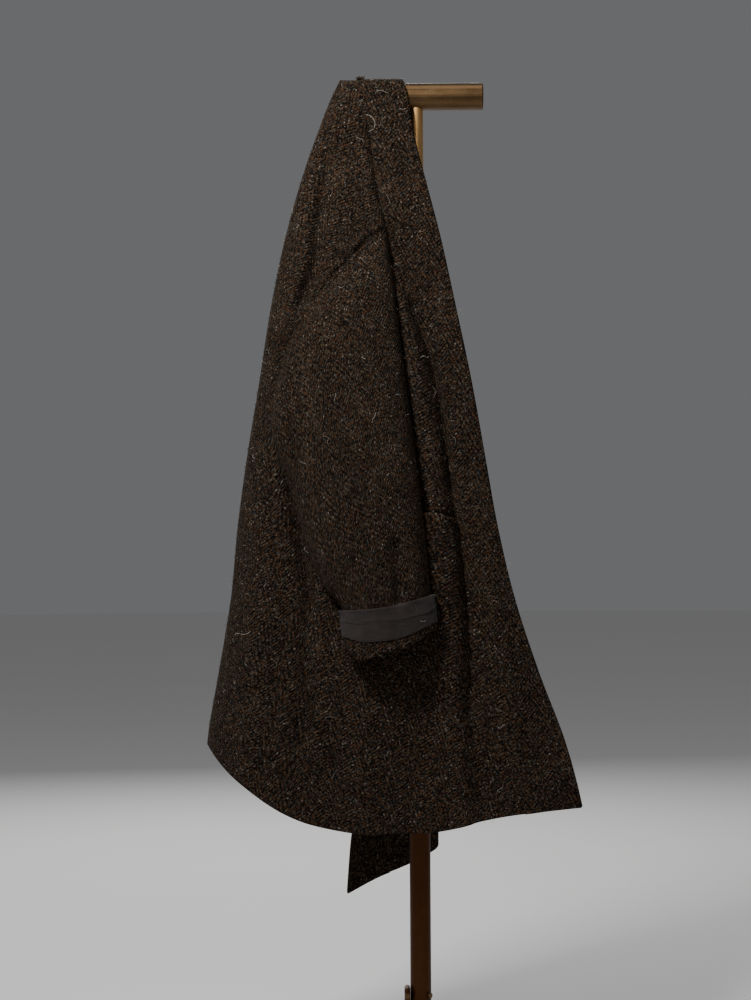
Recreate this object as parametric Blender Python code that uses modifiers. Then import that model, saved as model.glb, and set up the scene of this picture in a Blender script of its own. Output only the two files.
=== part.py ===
"""Shawl collar coat hung by its back neck over one arm of a T-bar stand.

Sizes are in millimetres and become metres in the meshes. The coat's right side faces -Y, X runs
towards its front edges and Z is up. The origin is the middle of the base plate's underside. A drop
is a distance below the middle of the bar. The coat is folded along its centre back, which lies
along the bar's crest and then runs down at -X, so each half is a sheet between that fold and its
front edge. Panels are parts of the two sheets, and what lies on a panel is made from its points.
"""

import math

import bmesh
import bpy
import numpy as np
from mathutils import Vector

MM = 0.001
SEAM_GAP = 0.5
TURNED_SEAM_GAP = 1.7
CLOTH = 3.0
COLLAR_CLOTH = 6.0
FACING_CLOTH = 1.2
LAID_ON = CLOTH + SEAM_GAP

BAR_HEIGHT = 1380.0
BAR_RADIUS = 18.7
BAR_RIGHT = 94.0
BAR_LEFT = -90.0
BAR_BEVEL = 1.5
POST_UPPER_RADIUS = 10.0
POST_LOWER_RADIUS = 14.6
POST_STEP_DROP = 600.0
POST_BEVEL = 0.8
BASE_RADIUS = 170.0
BASE_THICK = 12.0
BASE_BEVEL = 3.0
LUG_SIZE = (8.0, 26.0, 123.0)
LUG_BEVEL = 3.5
BOLT_RADIUS = 4.0
BOLT_HEAD = 3.0
BOLT_UP = 112.0
BOLT_TURN = 50.0
METAL_GAP = 0.3
BAR_SIDES = 40
POST_SIDES = 32
COPE_SIDES = 96
PLATE_SIDES = 56
BOLT_SIDES = 12

RIDGE_CLEAR = 0.7
RIDGE_RADIUS = BAR_RADIUS + COLLAR_CLOTH / 2 + RIDGE_CLEAR
RIDGE_STEPS = 5
LEVELS = (20, 70, 98, 128, 158, 188, 204, 224, 248, 276, 308, 344, 382, 420, 448, 466, 480, 516,
          552, 590, 630, 672, 716, 760)
HEM_ROWS = 5
HEM_GUESS = 960.0
HEM_TRIES = 30
CROWN_CORNER = (-0.6, 0.0, 0.8)
NECK_POINT = 70
FRONT_TIP = (78, -60)
FRONT_START = 98
SHOULDER_POINT = 188
UNDERARM = 480
BACK_COLUMNS = 7
FRONT_COLUMNS = 10
COLLAR_COLUMNS = 4
PROBE = 0.3
MERGE = 0.01
SLIVER = 0.001
CLOTH_CREASE = 60
METAL_CREASE = 40

COLOURS = {
    # name: colour, roughness, metallic
    "tweed": ((0.055, 0.034, 0.020), 0.95, 0.0),
    "linen": ((0.090, 0.076, 0.066), 0.90, 0.0),
    "brass": ((0.420, 0.270, 0.100), 0.38, 1.0),
    "copper": ((0.330, 0.150, 0.070), 0.36, 1.0),
    "iron": ((0.060, 0.055, 0.050), 0.55, 1.0),
}


def table(names, rows):
    """Columns of a table by name; the first column is the one that the others follow."""
    values = np.array(rows, dtype=float)
    columns = {name: values[:, i] for i, name in enumerate(names.split())}
    columns["follows"] = values[:, 0]
    return columns


def read(columns, name, at):
    """Smooth value of a column where the first column is at."""
    x = columns["follows"]
    y = columns[name]
    at = min(max(at, x[0]), x[-1])
    i = min(int(np.searchsorted(x, at, side="right")) - 1, len(x) - 2)
    slopes = np.gradient(y, x)
    span = x[i + 1] - x[i]
    t = (at - x[i]) / span
    start = (1 + 2 * t) * (1 - t) ** 2 * y[i] + t * t * (3 - 2 * t) * y[i + 1]
    bend = t * (1 - t) ** 2 * slopes[i] - t * t * (1 - t) * slopes[i + 1]
    return float(start + bend * span)


def straight(columns, name, at):
    """Value of a column between its rows, in straight runs."""
    return float(np.interp(at, columns["follows"], columns[name]))


def ease(value, low, high):
    """0 below low, 1 above high, smooth between."""
    t = min(max((value - low) / (high - low), 0.0), 1.0)
    return t * t * (3 - 2 * t)


def mix(a, b, share):
    return a + (b - a) * share


# The folded coat from its right side: how deep each half stands off the fold, and how far the
# centre back is rounded.
FIGURE = table("drop back depth edge_depth reach", (
    (-22.4, -105, 22.4, 22.4, 15),
    (0, -116, 22.4, 22.0, 20),
    (50, -136, 27, 25, 25),
    (100, -154, 33, 28, 30),
    (200, -183, 45, 36, 38),
    (300, -204, 56, 45, 45),
    (400, -220, 65, 55, 51),
    (500, -237, 73, 64, 56),
    (600, -251, 80, 70, 61),
    (700, -261, 86, 73, 66),
    (800, -278, 92, 74, 71),
    (900, -295, 97, 72, 76),
    (1000, -297, 100, 70, 78),
    (1130, -298, 102, 70, 80),
))

# Front edges, as if each half lay flat.
RIGHT_EDGE = table("drop x", (
    (-22.4, -19), (0, -13), (50, -6), (100, 6), (200, 31), (300, 52), (400, 72), (500, 89),
    (600, 106), (700, 129), (800, 161), (900, 198), (985, 220), (1130, 236),
))
LEFT_EDGE = table("drop x", (
    (-22.4, -19), (0, -16), (60, -4), (100, 4), (200, 28), (350, 60), (500, 87), (600, 104),
    (700, 121), (800, 136), (900, 152), (1000, 166), (1121, 176),
))

# Seam between collar and neck, then between collar band and front.
RIGHT_COLLAR_SEAM = table("drop x", (
    (-22.4, -78), (14, -71), (70, -61), (125, -50), (188, -34), (229, -26), (274, -15), (327, 4),
    (371, 18), (431, 29), (490, 37), (540, 46), (587, 54), (650, 60), (700, 66), (780, 82),
    (865, 105), (932, 125), (1003, 145), (1130, 165),
))
LEFT_COLLAR_SEAM = table("drop x", (
    (-22.4, -78), (14, -71), (70, -61), (125, -50), (188, -34), (280, -14), (370, 5), (460, 21),
    (560, 37), (660, 52), (800, 70), (900, 86), (1000, 102), (1121, 114),
))

# Shoulder seam, armhole and side seam, from the neck point down.
SHOULDER_SEAM = table("drop x", ((70, -61), (98, -60), (128, -56), (158, -50), (188, -44)))
BACK_ARMHOLE = table("drop x", (
    (188, -44), (200, -58), (216, -75), (236, -94), (258, -114), (280, -132), (304, -148),
    (332, -163), (362, -177), (394, -187), (424, -194), (448, -197), (466, -196), (480, -193),
))
FRONT_ARMHOLE = table("drop x", (
    (188, -44), (236, -45), (304, -57), (362, -77), (394, -92), (424, -111), (448, -135),
    (466, -165), (480, -193),
))
SIDE_SEAM = table("drop x", (
    (480, -193), (510, -184), (545, -173), (580, -164), (620, -154), (660, -145), (700, -138),
    (754, -133), (824, -141), (904, -149), (1000, -156), (1130, -160),
))

# Hems, drop by place along the cloth.
RIGHT_HEM = table("x drop", (
    (-298, 899), (-290, 906), (-278, 921), (-267, 934), (-236, 961), (-196, 989), (-122, 1016),
    (-76, 1021), (-28, 1021), (28, 1017), (79, 1007), (109, 1000), (164, 992), (240, 985),
))
LEFT_HEM = table("x drop", (
    (-298, 899), (-290, 906), (-267, 934), (-236, 961), (-196, 988), (-122, 1013), (-77, 1020),
    (-28, 1030), (13, 1044), (57, 1064), (84, 1078), (129, 1096), (180, 1123),
))

# Where the left half turns inward: its outermost x by drop.
TURN_LINE = table("drop x", (
    (-22.4, 6), (0, 4), (60, 4), (206, 14), (350, 22), (500, 28), (708, 32), (923, 31),
    (1062, 27), (1130, 27),
))
TURN_RADIUS = 14.0

# Largest folds. Each follows a path down the cloth; height is outward, negative for a trough.
RIGHT_FOLDS = (
    # height, left width, right width, path of (drop, x)
    (-13.0, 10.0, 26.0, ((140, -44), (188, -34), (274, -15), (327, 4), (371, 18), (431, 29),
                         (490, 37), (560, 50), (646, 62), (760, 68), (900, 73), (1040, 80))),
    (-8.0, 16.0, 14.0, ((20, -112), (124, -126), (200, -135), (273, -146), (336, -165),
                        (400, -184))),
    (-10.0, 15.0, 13.0, ((480, -184), (562, -168), (644, -159), (712, -154), (767, -153),
                         (860, -156))),
    (-8.0, 24.0, 24.0, ((790, 10), (860, -2), (905, -8), (1010, -20))),
    (7.0, 22.0, 22.0, ((560, -212), (700, -226), (900, -238))),
    (6.0, 20.0, 30.0, ((820, -90), (920, -84), (1040, -80))),
)
LEFT_FOLDS = (
    (-11.0, 12.0, 24.0, ((140, -44), (188, -34), (274, -17), (350, -6), (450, -2), (560, -6),
                         (700, -14))),
    (-8.0, 16.0, 14.0, ((30, -110), (150, -128), (260, -150), (390, -186))),
    (-10.0, 16.0, 16.0, ((500, -186), (600, -166), (720, -156), (880, -160))),
    (-9.0, 22.0, 26.0, ((760, -60), (880, -52), (1030, -46))),
    (7.0, 24.0, 24.0, ((600, -216), (760, -232), (900, -240))),
)
FOLD_FADE = 70.0

RIGHT = {"sign": -1, "edge": RIGHT_EDGE, "seam": RIGHT_COLLAR_SEAM, "hem": RIGHT_HEM,
         "folds": RIGHT_FOLDS, "gap": SEAM_GAP}
LEFT = {"sign": 1, "edge": LEFT_EDGE, "seam": LEFT_COLLAR_SEAM, "hem": LEFT_HEM,
        "folds": LEFT_FOLDS, "gap": TURNED_SEAM_GAP}

# A sleeve: its two flattened edges, how far it fills out, and how far its under side stands off
# the coat, from armhole (0) to the turned-up end (1). The end bows down in a curve, with a toe.
SLEEVE = table("along left_x left_drop right_x right_drop fill stand", (
    (0.00, -193, 480, -44, 188, 0.5, 4.6),
    (0.08, -192, 492, -40, 214, 14, 6.5),
    (0.20, -187, 512, -35, 256, 27, 7.5),
    (0.35, -176, 549, -28, 322, 35, 9),
    (0.50, -162, 596, -18, 405, 39, 12),
    (0.65, -148, 642, -8, 490, 41, 16),
    (0.80, -126, 684, 5, 600, 40, 19),
    (0.90, -105, 711, 13, 690, 38, 20),
    (1.00, -99, 754, 18, 737, 36, 20),
))
SLEEVE_ROWS = (0.0, 0.03, 0.08, 0.14, 0.21, 0.29, 0.38, 0.47, 0.56, 0.65, 0.74, 0.83)
SLEEVE_SIDES = 16
SLEEVE_LAP = 3.0
UNDER_SAG = 2.0
UNDER_SAG_FULL = 0.3
CAP_FADE = 0.62
CUFF_ROWS = (0.905, 0.945, 0.985, 1.0)
CUFF_OUT = CLOTH + SEAM_GAP
CUFF_ROUND = 0.7
FACING_ROWS = CUFF_ROWS[:-1]
FACING_OUT = CUFF_OUT + CLOTH / 2 + SEAM_GAP + FACING_CLOTH / 2
BOW = 14.0
BOW_START = 0.84
BOW_END = 1.02
TOE = 18.0
TOE_ACROSS = 0.14
TOE_WIDTH = 0.16
TOE_START = 0.98
ARMHOLE_POINTS = 60
SHARPEST_MITER = 0.45

# A patch pocket: the front's columns and levels that it covers, and how far its mouth stands open.
POCKET_COLUMNS = (2, 9)
POCKET_TOP = 590
POCKET_ROWS = 6
POCKET_OPEN = 8.0


def clear_scene():
    for thing in list(bpy.data.objects):
        bpy.data.objects.remove(thing)


def new_collection(name):
    collection = bpy.data.collections.new(name)
    bpy.context.scene.collection.children.link(collection)
    return collection


def material(node, kind):
    """A material of its own for one node."""
    colour, roughness, metallic = COLOURS[kind]
    made = bpy.data.materials.new(f"{node}_{kind}")
    made.use_nodes = True
    shader = made.node_tree.nodes["Principled BSDF"]
    shader.inputs["Base Color"].default_value = (*colour, 1.0)
    shader.inputs["Roughness"].default_value = roughness
    shader.inputs["Metallic"].default_value = metallic
    return made


def link(mesh, name, kind, collection):
    thing = bpy.data.objects.new(name, mesh)
    mesh.materials.append(material(name, kind))
    collection.objects.link(thing)
    return thing


# The coat's two sheets.


def half_depth(drop):
    """How far a half stands off the middle plane: round over the bar, then by the table."""
    if drop < 0:
        return math.sqrt(max(RIDGE_RADIUS ** 2 - drop ** 2, 0.0))
    return read(FIGURE, "depth", drop)


def fold_height(side, x, drop):
    """Sum of the large folds at one place of a half."""
    total = 0.0
    for height, left_width, right_width, path in side["folds"]:
        drops = [point[0] for point in path]
        middle = float(np.interp(drop, drops, [point[1] for point in path]))
        width = left_width if x < middle else right_width
        fade = ease(drop, drops[0], drops[0] + FOLD_FADE)
        fade *= 1 - ease(drop, drops[-1], drops[-1] + FOLD_FADE)
        total += height * fade * math.exp(-((x - middle) / width) ** 2)
    return total


def place(side, x, drop, lift=0.0):
    """A point of a half's cloth, or of what lies a lift outside it, in metres."""
    back = read(FIGURE, "back", drop)
    reach = read(FIGURE, "reach", drop)
    depth = half_depth(drop)
    lean = min(max((back + reach - x) / reach, 0.0), 1.0)
    rise = math.sqrt(1 - lean * lean)
    edge = read(side["edge"], "x", drop)
    share = min(max((x - back - reach) / (edge - back - reach), 0.0), 1.0)
    out = (depth + fold_height(side, x, drop)) * rise
    if side is RIGHT:
        out -= (read(FIGURE, "depth", max(drop, 0)) - read(FIGURE, "edge_depth", drop)) * share ** 2
        return point_at(x - lift * lean, -(out + lift * rise), drop)
    start = read(TURN_LINE, "x", drop) - TURN_RADIUS
    if x <= start:
        return point_at(x - lift * lean, out + lift * rise, drop)
    angle = min((x - start) / TURN_RADIUS, math.pi)
    past = max(x - start - math.pi * TURN_RADIUS, 0.0)
    radius = TURN_RADIUS + lift
    turned_x = start + radius * math.sin(angle) - past
    turned_out = out - TURN_RADIUS + radius * math.cos(angle)
    return point_at(turned_x, turned_out, drop)


def point_at(x, y, drop):
    return Vector((x, y, BAR_HEIGHT - drop)) * MM


def facing_out(side, x, drop):
    """The sheet's own direction outwards, folds and all."""
    low = max(drop - PROBE, -RIDGE_RADIUS)
    back = read(FIGURE, "back", drop)
    near = max(x - PROBE, back)
    down = place(side, x, drop + PROBE) - place(side, x, low)
    along = place(side, x + PROBE, drop) - place(side, near, drop)
    normal = along.cross(down) * side["sign"]
    on_ridge = drop <= -RIDGE_RADIUS + PROBE
    on_back = x <= back + PROBE
    if on_ridge and on_back:
        normal = Vector(CROWN_CORNER)
    elif on_ridge or on_back:
        normal.y = 0.0
    return normal.normalized()


def place_out(side, x, drop, lift):
    """A point that stands a true lift off the sheet."""
    return place(side, x, drop) + facing_out(side, x, drop) * lift * MM


def hem_drop(side, x_at):
    """Drop at which a column, whose x follows its drop, meets the hem."""
    drop = HEM_GUESS
    for _ in range(HEM_TRIES):
        drop = mix(drop, read(side["hem"], "drop", x_at(drop)), 0.5)
    return drop


def column_drops(side, x_at, start):
    """The drops of a column's points, from a start level to the hem."""
    over_bar = [-RIDGE_RADIUS * math.cos(math.radians(90 * i / RIDGE_STEPS))
                for i in range(RIDGE_STEPS)] + [0.0]
    down = [level for level in over_bar + list(LEVELS) if level >= start]
    last = LEVELS[-1]
    hem = hem_drop(side, x_at)
    return down + [mix(last, hem, (i + 1) / HEM_ROWS) for i in range(HEM_ROWS)]


def back_edge(side, drop):
    """The back's outer edge: neck, shoulder, armhole and side seams."""
    if drop <= NECK_POINT:
        return read(side["seam"], "x", drop) - SEAM_GAP / 2
    if drop <= SHOULDER_POINT:
        return straight(SHOULDER_SEAM, "x", drop) - SEAM_GAP / 2
    if drop < UNDERARM:
        return straight(BACK_ARMHOLE, "x", drop)
    return straight(SIDE_SEAM, "x", drop) - SEAM_GAP / 2


def front_back_edge(drop):
    """The front's edge towards the back: shoulder, armhole and side seams."""
    if drop <= SHOULDER_POINT:
        return straight(SHOULDER_SEAM, "x", drop) + SEAM_GAP / 2
    if drop < UNDERARM:
        return straight(FRONT_ARMHOLE, "x", drop)
    return straight(SIDE_SEAM, "x", drop) + SEAM_GAP / 2


def back_column(side, share):
    """x of a back column by drop; columns crowd towards the rounded centre back."""
    spread = 1 - math.cos(share * math.pi / 2)

    def x_at(drop):
        back = read(FIGURE, "back", drop)
        return mix(back, back_edge(side, drop), spread)

    return x_at


def front_column(side, share):
    """x of a front column by drop; columns crowd towards the collar seam."""
    spread = math.sin(share * math.pi / 2)

    def x_at(drop):
        seam = read(side["seam"], "x", drop) - side["gap"] / 2
        return mix(front_back_edge(drop), seam, spread)

    return x_at


def collar_column(side, share):
    """x of a collar column by drop, from the seam to the front edge."""

    def x_at(drop):
        seam = read(side["seam"], "x", drop) + side["gap"] / 2
        return mix(seam, read(side["edge"], "x", drop), share)

    return x_at


def column_points(side, x_at, start, lift):
    return [place_out(side, x_at(drop), drop, lift) for drop in column_drops(side, x_at, start)]


# Building cloth. A wall has two skins at equal distances from the sheet, so that pieces cut from
# one sheet face each other squarely at their seams, also in the trough of a fold.


def wall(name, outer, inner, kind, collection, ring=False, top_rim=True):
    """A closed wall of cloth between two skins, each a list of lines of points."""
    bm = bmesh.new()
    skins = [[[bm.verts.new(point) for point in line] for line in skin] for skin in (outer, inner)]
    out, into = skins
    count = len(out)
    last = len(out[0]) - 1
    pairs = [(i, (i + 1) % count) for i in range(count if ring else count - 1)]
    for near, far in pairs:
        for j in range(last):
            bm.faces.new((out[near][j], out[near][j + 1], out[far][j + 1], out[far][j]))
            bm.faces.new((into[near][j], into[far][j], into[far][j + 1], into[near][j + 1]))
        if top_rim:
            bm.faces.new((out[near][0], out[far][0], into[far][0], into[near][0]))
        bm.faces.new((out[near][last], into[near][last], into[far][last], out[far][last]))
    if not ring:
        for j in range(last):
            bm.faces.new((out[0][j], into[0][j], into[0][j + 1], out[0][j + 1]))
            bm.faces.new((out[-1][j], out[-1][j + 1], into[-1][j + 1], into[-1][j]))
    bmesh.ops.remove_doubles(bm, verts=bm.verts, dist=MERGE * MM)
    bmesh.ops.dissolve_degenerate(bm, edges=bm.edges, dist=SLIVER * MM)
    if bm.calc_volume(signed=True) < 0:
        bmesh.ops.reverse_faces(bm, faces=bm.faces)
    mesh = bpy.data.meshes.new(name)
    bm.to_mesh(mesh)
    bm.free()
    mesh.shade_smooth()
    mesh.set_sharp_from_angle(angle=math.radians(CLOTH_CREASE))
    return link(mesh, name, kind, collection)


def skins_of(lines_at, thick):
    """Outer and inner skin from a function that gives the lines at a lift."""
    return lines_at(thick / 2), lines_at(-thick / 2)


def add_back(collection):
    def lines_at(lift):
        lines = []
        for i in range(-BACK_COLUMNS, BACK_COLUMNS + 1):
            side = LEFT if i < 0 else RIGHT
            x_at = back_column(side, abs(i) / BACK_COLUMNS)
            lines.append(column_points(side, x_at, -RIDGE_RADIUS, lift))
        return lines

    outer, inner = skins_of(lines_at, CLOTH)
    wall("back", outer, inner, "tweed", collection, top_rim=False)


def add_front(name, side, collection):
    tip_drop, tip_x = FRONT_TIP

    def lines_at(lift):
        lines = []
        for i in range(FRONT_COLUMNS + 1):
            x_at = front_column(side, i / FRONT_COLUMNS)
            tip = place_out(side, tip_x, tip_drop, lift)
            lines.append([tip] + column_points(side, x_at, FRONT_START, lift))
        return lines

    outer, inner = skins_of(lines_at, CLOTH)
    wall(name, outer, inner, "tweed", collection)


def add_collar(collection):
    def lines_at(lift):
        lines = []
        for i in range(COLLAR_COLUMNS + 1):
            share = i / COLLAR_COLUMNS
            left = column_points(LEFT, collar_column(LEFT, share), -RIDGE_RADIUS, lift)
            right = column_points(RIGHT, collar_column(RIGHT, share), -RIDGE_RADIUS, lift)
            lines.append(list(reversed(left)) + right[1:])
        return lines

    outer, inner = skins_of(lines_at, COLLAR_CLOTH)
    wall("shawl_collar", outer, inner, "tweed", collection)


# Sleeves.


def armhole_point(armhole, share, towards):
    """A point of an armhole edge, from underarm (0) to shoulder (1), lapped over the panel."""
    drops = np.linspace(UNDERARM, SHOULDER_POINT, ARMHOLE_POINTS)
    xs = [straight(armhole, "x", drop) for drop in drops]
    steps = np.hypot(np.diff(xs), np.diff(drops))
    run = np.concatenate(([0.0], np.cumsum(steps))) / steps.sum()
    lap = SLEEVE_LAP * math.sin(math.pi * share) * towards
    return float(np.interp(share, run, xs)) + lap, float(np.interp(share, run, drops)) + lap


def ring_outline(along, out):
    """A sleeve's ring in its own plane: (share across, lift) points, moved out evenly."""
    fill = read(SLEEVE, "fill", along)
    stand = read(SLEEVE, "stand", along)
    width = ring_width(along)
    flat = []
    for i in range(SLEEVE_SIDES):
        turn = 2 * math.pi * i / SLEEVE_SIDES
        swell = fill if turn <= math.pi else UNDER_SAG * ease(along, 0.0, UNDER_SAG_FULL)
        flat.append((width * (1 - math.cos(turn)) / 2, stand + swell * math.sin(turn)))
    moved = []
    for i, (u, h) in enumerate(flat):
        before = Vector(flat[i]) - Vector(flat[i - 1])
        after = Vector(flat[(i + 1) % SLEEVE_SIDES]) - Vector(flat[i])
        normal = (Vector((-before.y, before.x)).normalized()
                  + Vector((-after.y, after.x)).normalized()).normalized()
        even = max(abs(normal.dot(Vector((-after.y, after.x)).normalized())), SHARPEST_MITER)
        moved.append(((u + normal.x * out / even) / width, h + normal.y * out / even))
    return moved


def ring_width(along):
    across = read(SLEEVE, "right_x", along) - read(SLEEVE, "left_x", along)
    down = read(SLEEVE, "right_drop", along) - read(SLEEVE, "left_drop", along)
    return math.hypot(across, down)


def sleeve_ring(side, along, out=0.0, lower=0.0):
    """One ring of a sleeve or of what is wrapped round it."""
    level = min(along, 1.0)
    left = Vector((read(SLEEVE, "left_x", level), read(SLEEVE, "left_drop", level)))
    right = Vector((read(SLEEVE, "right_x", level), read(SLEEVE, "right_drop", level)))
    root_left = Vector((SLEEVE["left_x"][0], SLEEVE["left_drop"][0]))
    root_right = Vector((SLEEVE["right_x"][0], SLEEVE["right_drop"][0]))
    cap = (1 - ease(level, 0.0, CAP_FADE)) if level > 0 else 1.0
    points = []
    for i, (share, lift) in enumerate(ring_outline(level, out)):
        over = i <= SLEEVE_SIDES // 2
        root_share = min(max(share, 0.0), 1.0)
        if over:
            root = Vector(armhole_point(BACK_ARMHOLE, root_share, -1))
        else:
            root = Vector(armhole_point(FRONT_ARMHOLE, root_share, 1))
        bulge = root - root_left.lerp(root_right, root_share)
        spot = left.lerp(right, share) + bulge * cap
        points.append(place(side, spot.x, spot.y + lower + end_curve(level, share), lift))
    return points


def end_curve(level, share):
    """How much lower a sleeve's end hangs across its width than between its two edges."""
    bow = BOW * ease(level, BOW_START, BOW_END) * math.sin(math.pi * min(max(share, 0.0), 1.0))
    return bow + TOE * ease(level, TOE_START, 1.0) * math.exp(-((share - TOE_ACROSS) / TOE_WIDTH) ** 2)


def rings_to_lines(rings):
    """Lines along a tube from its rings."""
    return [[ring[i] for ring in rings] for i in range(SLEEVE_SIDES)]


def add_sleeve(name, side, collection):
    def lines_at(lift):
        rows = SLEEVE_ROWS + CUFF_ROWS
        return rings_to_lines([sleeve_ring(side, along, lift) for along in rows])

    outer, inner = skins_of(lines_at, CLOTH)
    wall(name, outer, inner, "tweed", collection, ring=True)


def add_cuff(name, side, collection):
    """The sleeve's end turned up over itself, with its folded lip below the sleeve."""
    outside = CUFF_OUT + CLOTH / 2
    inside = CUFF_OUT - CLOTH / 2
    floor = SEAM_GAP
    outer = [sleeve_ring(side, along, outside) for along in CUFF_ROWS]
    inner = [sleeve_ring(side, along, inside) for along in CUFF_ROWS]
    outer.append(sleeve_ring(side, 1.0, outside * CUFF_ROUND, floor + CLOTH * CUFF_ROUND))
    inner.append(sleeve_ring(side, 1.0, inside, floor))
    outer.append(sleeve_ring(side, 1.0, -CLOTH / 2, floor + CLOTH))
    inner.append(sleeve_ring(side, 1.0, -CLOTH / 2, floor))
    wall(name, rings_to_lines(outer), rings_to_lines(inner), "tweed", collection, ring=True)


def add_cuff_facing(name, side, collection):
    def lines_at(lift):
        return rings_to_lines([sleeve_ring(side, along, FACING_OUT + lift) for along in FACING_ROWS])

    outer, inner = skins_of(lines_at, FACING_CLOTH)
    wall(name, outer, inner, "linen", collection, ring=True)


# Pockets.


def add_pocket(name, side, collection):
    first, final = POCKET_COLUMNS

    def lines_at(lift):
        lines = []
        for i in range(first, final + 1):
            x_at = front_column(side, i / FRONT_COLUMNS)
            across = (i - first) / (final - first)
            drops = column_drops(side, x_at, POCKET_TOP)[:POCKET_ROWS]
            line = []
            for j, drop in enumerate(drops):
                down = j / (POCKET_ROWS - 1)
                open_out = POCKET_OPEN * math.sin(math.pi * across) * (1 - down) ** 2
                line.append(place_out(side, x_at(drop), drop, LAID_ON + open_out + lift))
            lines.append(line)
        return lines

    outer, inner = skins_of(lines_at, CLOTH)
    wall(name, outer, inner, "tweed", collection)


# The stand.


def cylinder(name, kind, radius, length, middle, axis, bevel, collection, sides):
    """A round bar, plate or bolt along an axis, with its ends eased."""
    bm = bmesh.new()
    bmesh.ops.create_cone(bm, cap_ends=True, segments=sides, radius1=radius * MM,
                          radius2=radius * MM, depth=length * MM)
    mesh = bpy.data.meshes.new(name)
    bm.to_mesh(mesh)
    bm.free()
    thing = link(mesh, name, kind, collection)
    thing.location = Vector(middle) * MM
    thing.rotation_mode = "QUATERNION"
    thing.rotation_quaternion = Vector((0, 0, 1)).rotation_difference(Vector(axis))
    if bevel:
        edges = thing.modifiers.new("eased_ends", "BEVEL")
        edges.width = bevel * MM
        edges.segments = 1
        edges.limit_method = "ANGLE"
        edges.angle_limit = math.radians(METAL_CREASE)
    mesh.shade_smooth()
    mesh.set_sharp_from_angle(angle=math.radians(METAL_CREASE))
    return thing


def add_bar(collection):
    length = BAR_RIGHT - BAR_LEFT
    middle = ((BAR_RIGHT + BAR_LEFT) / 2, 0, BAR_HEIGHT)
    cylinder("bar", "brass", BAR_RADIUS, length, middle, (1, 0, 0), BAR_BEVEL, collection,
             BAR_SIDES)


def add_post(collection, cutters):
    """Thin tube coped to the bar above, thick tube below."""
    step_height = BAR_HEIGHT - POST_STEP_DROP
    top = BAR_HEIGHT - BAR_RADIUS / 2
    low = step_height + METAL_GAP / 2
    upper = cylinder("post_upper", "copper", POST_UPPER_RADIUS, top - low, (0, 0, (top + low) / 2),
                     (0, 0, 1), 0.0, collection, POST_SIDES)
    cope = cylinder("cope", "brass", BAR_RADIUS + METAL_GAP, 4 * POST_UPPER_RADIUS,
                    (0, 0, BAR_HEIGHT), (1, 0, 0), 0.0, cutters, COPE_SIDES)
    cope.hide_render = True
    cope.display_type = "WIRE"
    cut = upper.modifiers.new("coped_top", "BOOLEAN")
    cut.operation = "DIFFERENCE"
    cut.object = cope
    high = step_height - METAL_GAP / 2
    foot = BASE_THICK + METAL_GAP
    cylinder("post_lower", "copper", POST_LOWER_RADIUS, high - foot, (0, 0, (high + foot) / 2),
             (0, 0, 1), POST_BEVEL, collection, POST_SIDES)


def add_base(collection):
    cylinder("base_plate", "iron", BASE_RADIUS, BASE_THICK, (0, 0, BASE_THICK / 2), (0, 0, 1),
             BASE_BEVEL, collection, PLATE_SIDES)
    wide, deep, tall = LUG_SIZE
    bm = bmesh.new()
    bmesh.ops.create_cube(bm, size=1.0)
    bmesh.ops.scale(bm, vec=Vector(LUG_SIZE) * MM, verts=bm.verts)
    mesh = bpy.data.meshes.new("base_lug")
    bm.to_mesh(mesh)
    bm.free()
    lug = link(mesh, "base_lug", "iron", collection)
    lug_x = -(POST_LOWER_RADIUS + METAL_GAP + wide / 2)
    lug.location = Vector((lug_x, 0, BASE_THICK + METAL_GAP + tall / 2)) * MM
    rounded = lug.modifiers.new("rounded", "BEVEL")
    rounded.width = LUG_BEVEL * MM
    rounded.segments = 2
    head_y = -(deep / 2 + METAL_GAP + BOLT_HEAD / 2)
    cylinder("lug_bolt", "iron", BOLT_RADIUS, BOLT_HEAD, (lug_x, head_y, BASE_THICK + BOLT_UP),
             (0, 1, 0), 0.0, collection, BOLT_SIDES)
    turn = math.radians(BOLT_TURN)
    outward = Vector((math.sin(turn), -math.cos(turn), 0))
    seat = outward * (POST_LOWER_RADIUS + METAL_GAP + BOLT_HEAD / 2)
    cylinder("post_bolt", "iron", BOLT_RADIUS, BOLT_HEAD,
             (seat.x, seat.y, BASE_THICK + BOLT_UP), outward, 0.0, collection,
             BOLT_SIDES)


def main():
    clear_scene()
    coat = new_collection("shawl_collar_coat_on_t_bar_stand")
    cutters = new_collection("cutters")
    add_back(coat)
    add_collar(coat)
    for word, side in (("right", RIGHT), ("left", LEFT)):
        add_front(f"front_{word}", side, coat)
        add_pocket(f"pocket_{word}", side, coat)
        add_sleeve(f"sleeve_{word}", side, coat)
        add_cuff(f"cuff_{word}", side, coat)
        add_cuff_facing(f"cuff_facing_{word}", side, coat)
    add_bar(coat)
    add_post(coat, cutters)
    add_base(coat)


main()
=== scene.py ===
"""Looks of a shawl collar coat hung over one arm of a T-bar stand.

Sizes are in millimetres and become metres in the meshes. The coat's two halves are the same two
sheets as in the solids, read here at a finer step with the small creases added. A drop is a
distance below the middle of the bar, and x is measured as if a half lay flat. Cloth points are
made for whole grids at once: the first axis of a grid runs across the piece, the second down it.
"""

import math

import bmesh
import bpy
import numpy as np
from mathutils import Matrix, Vector


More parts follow.
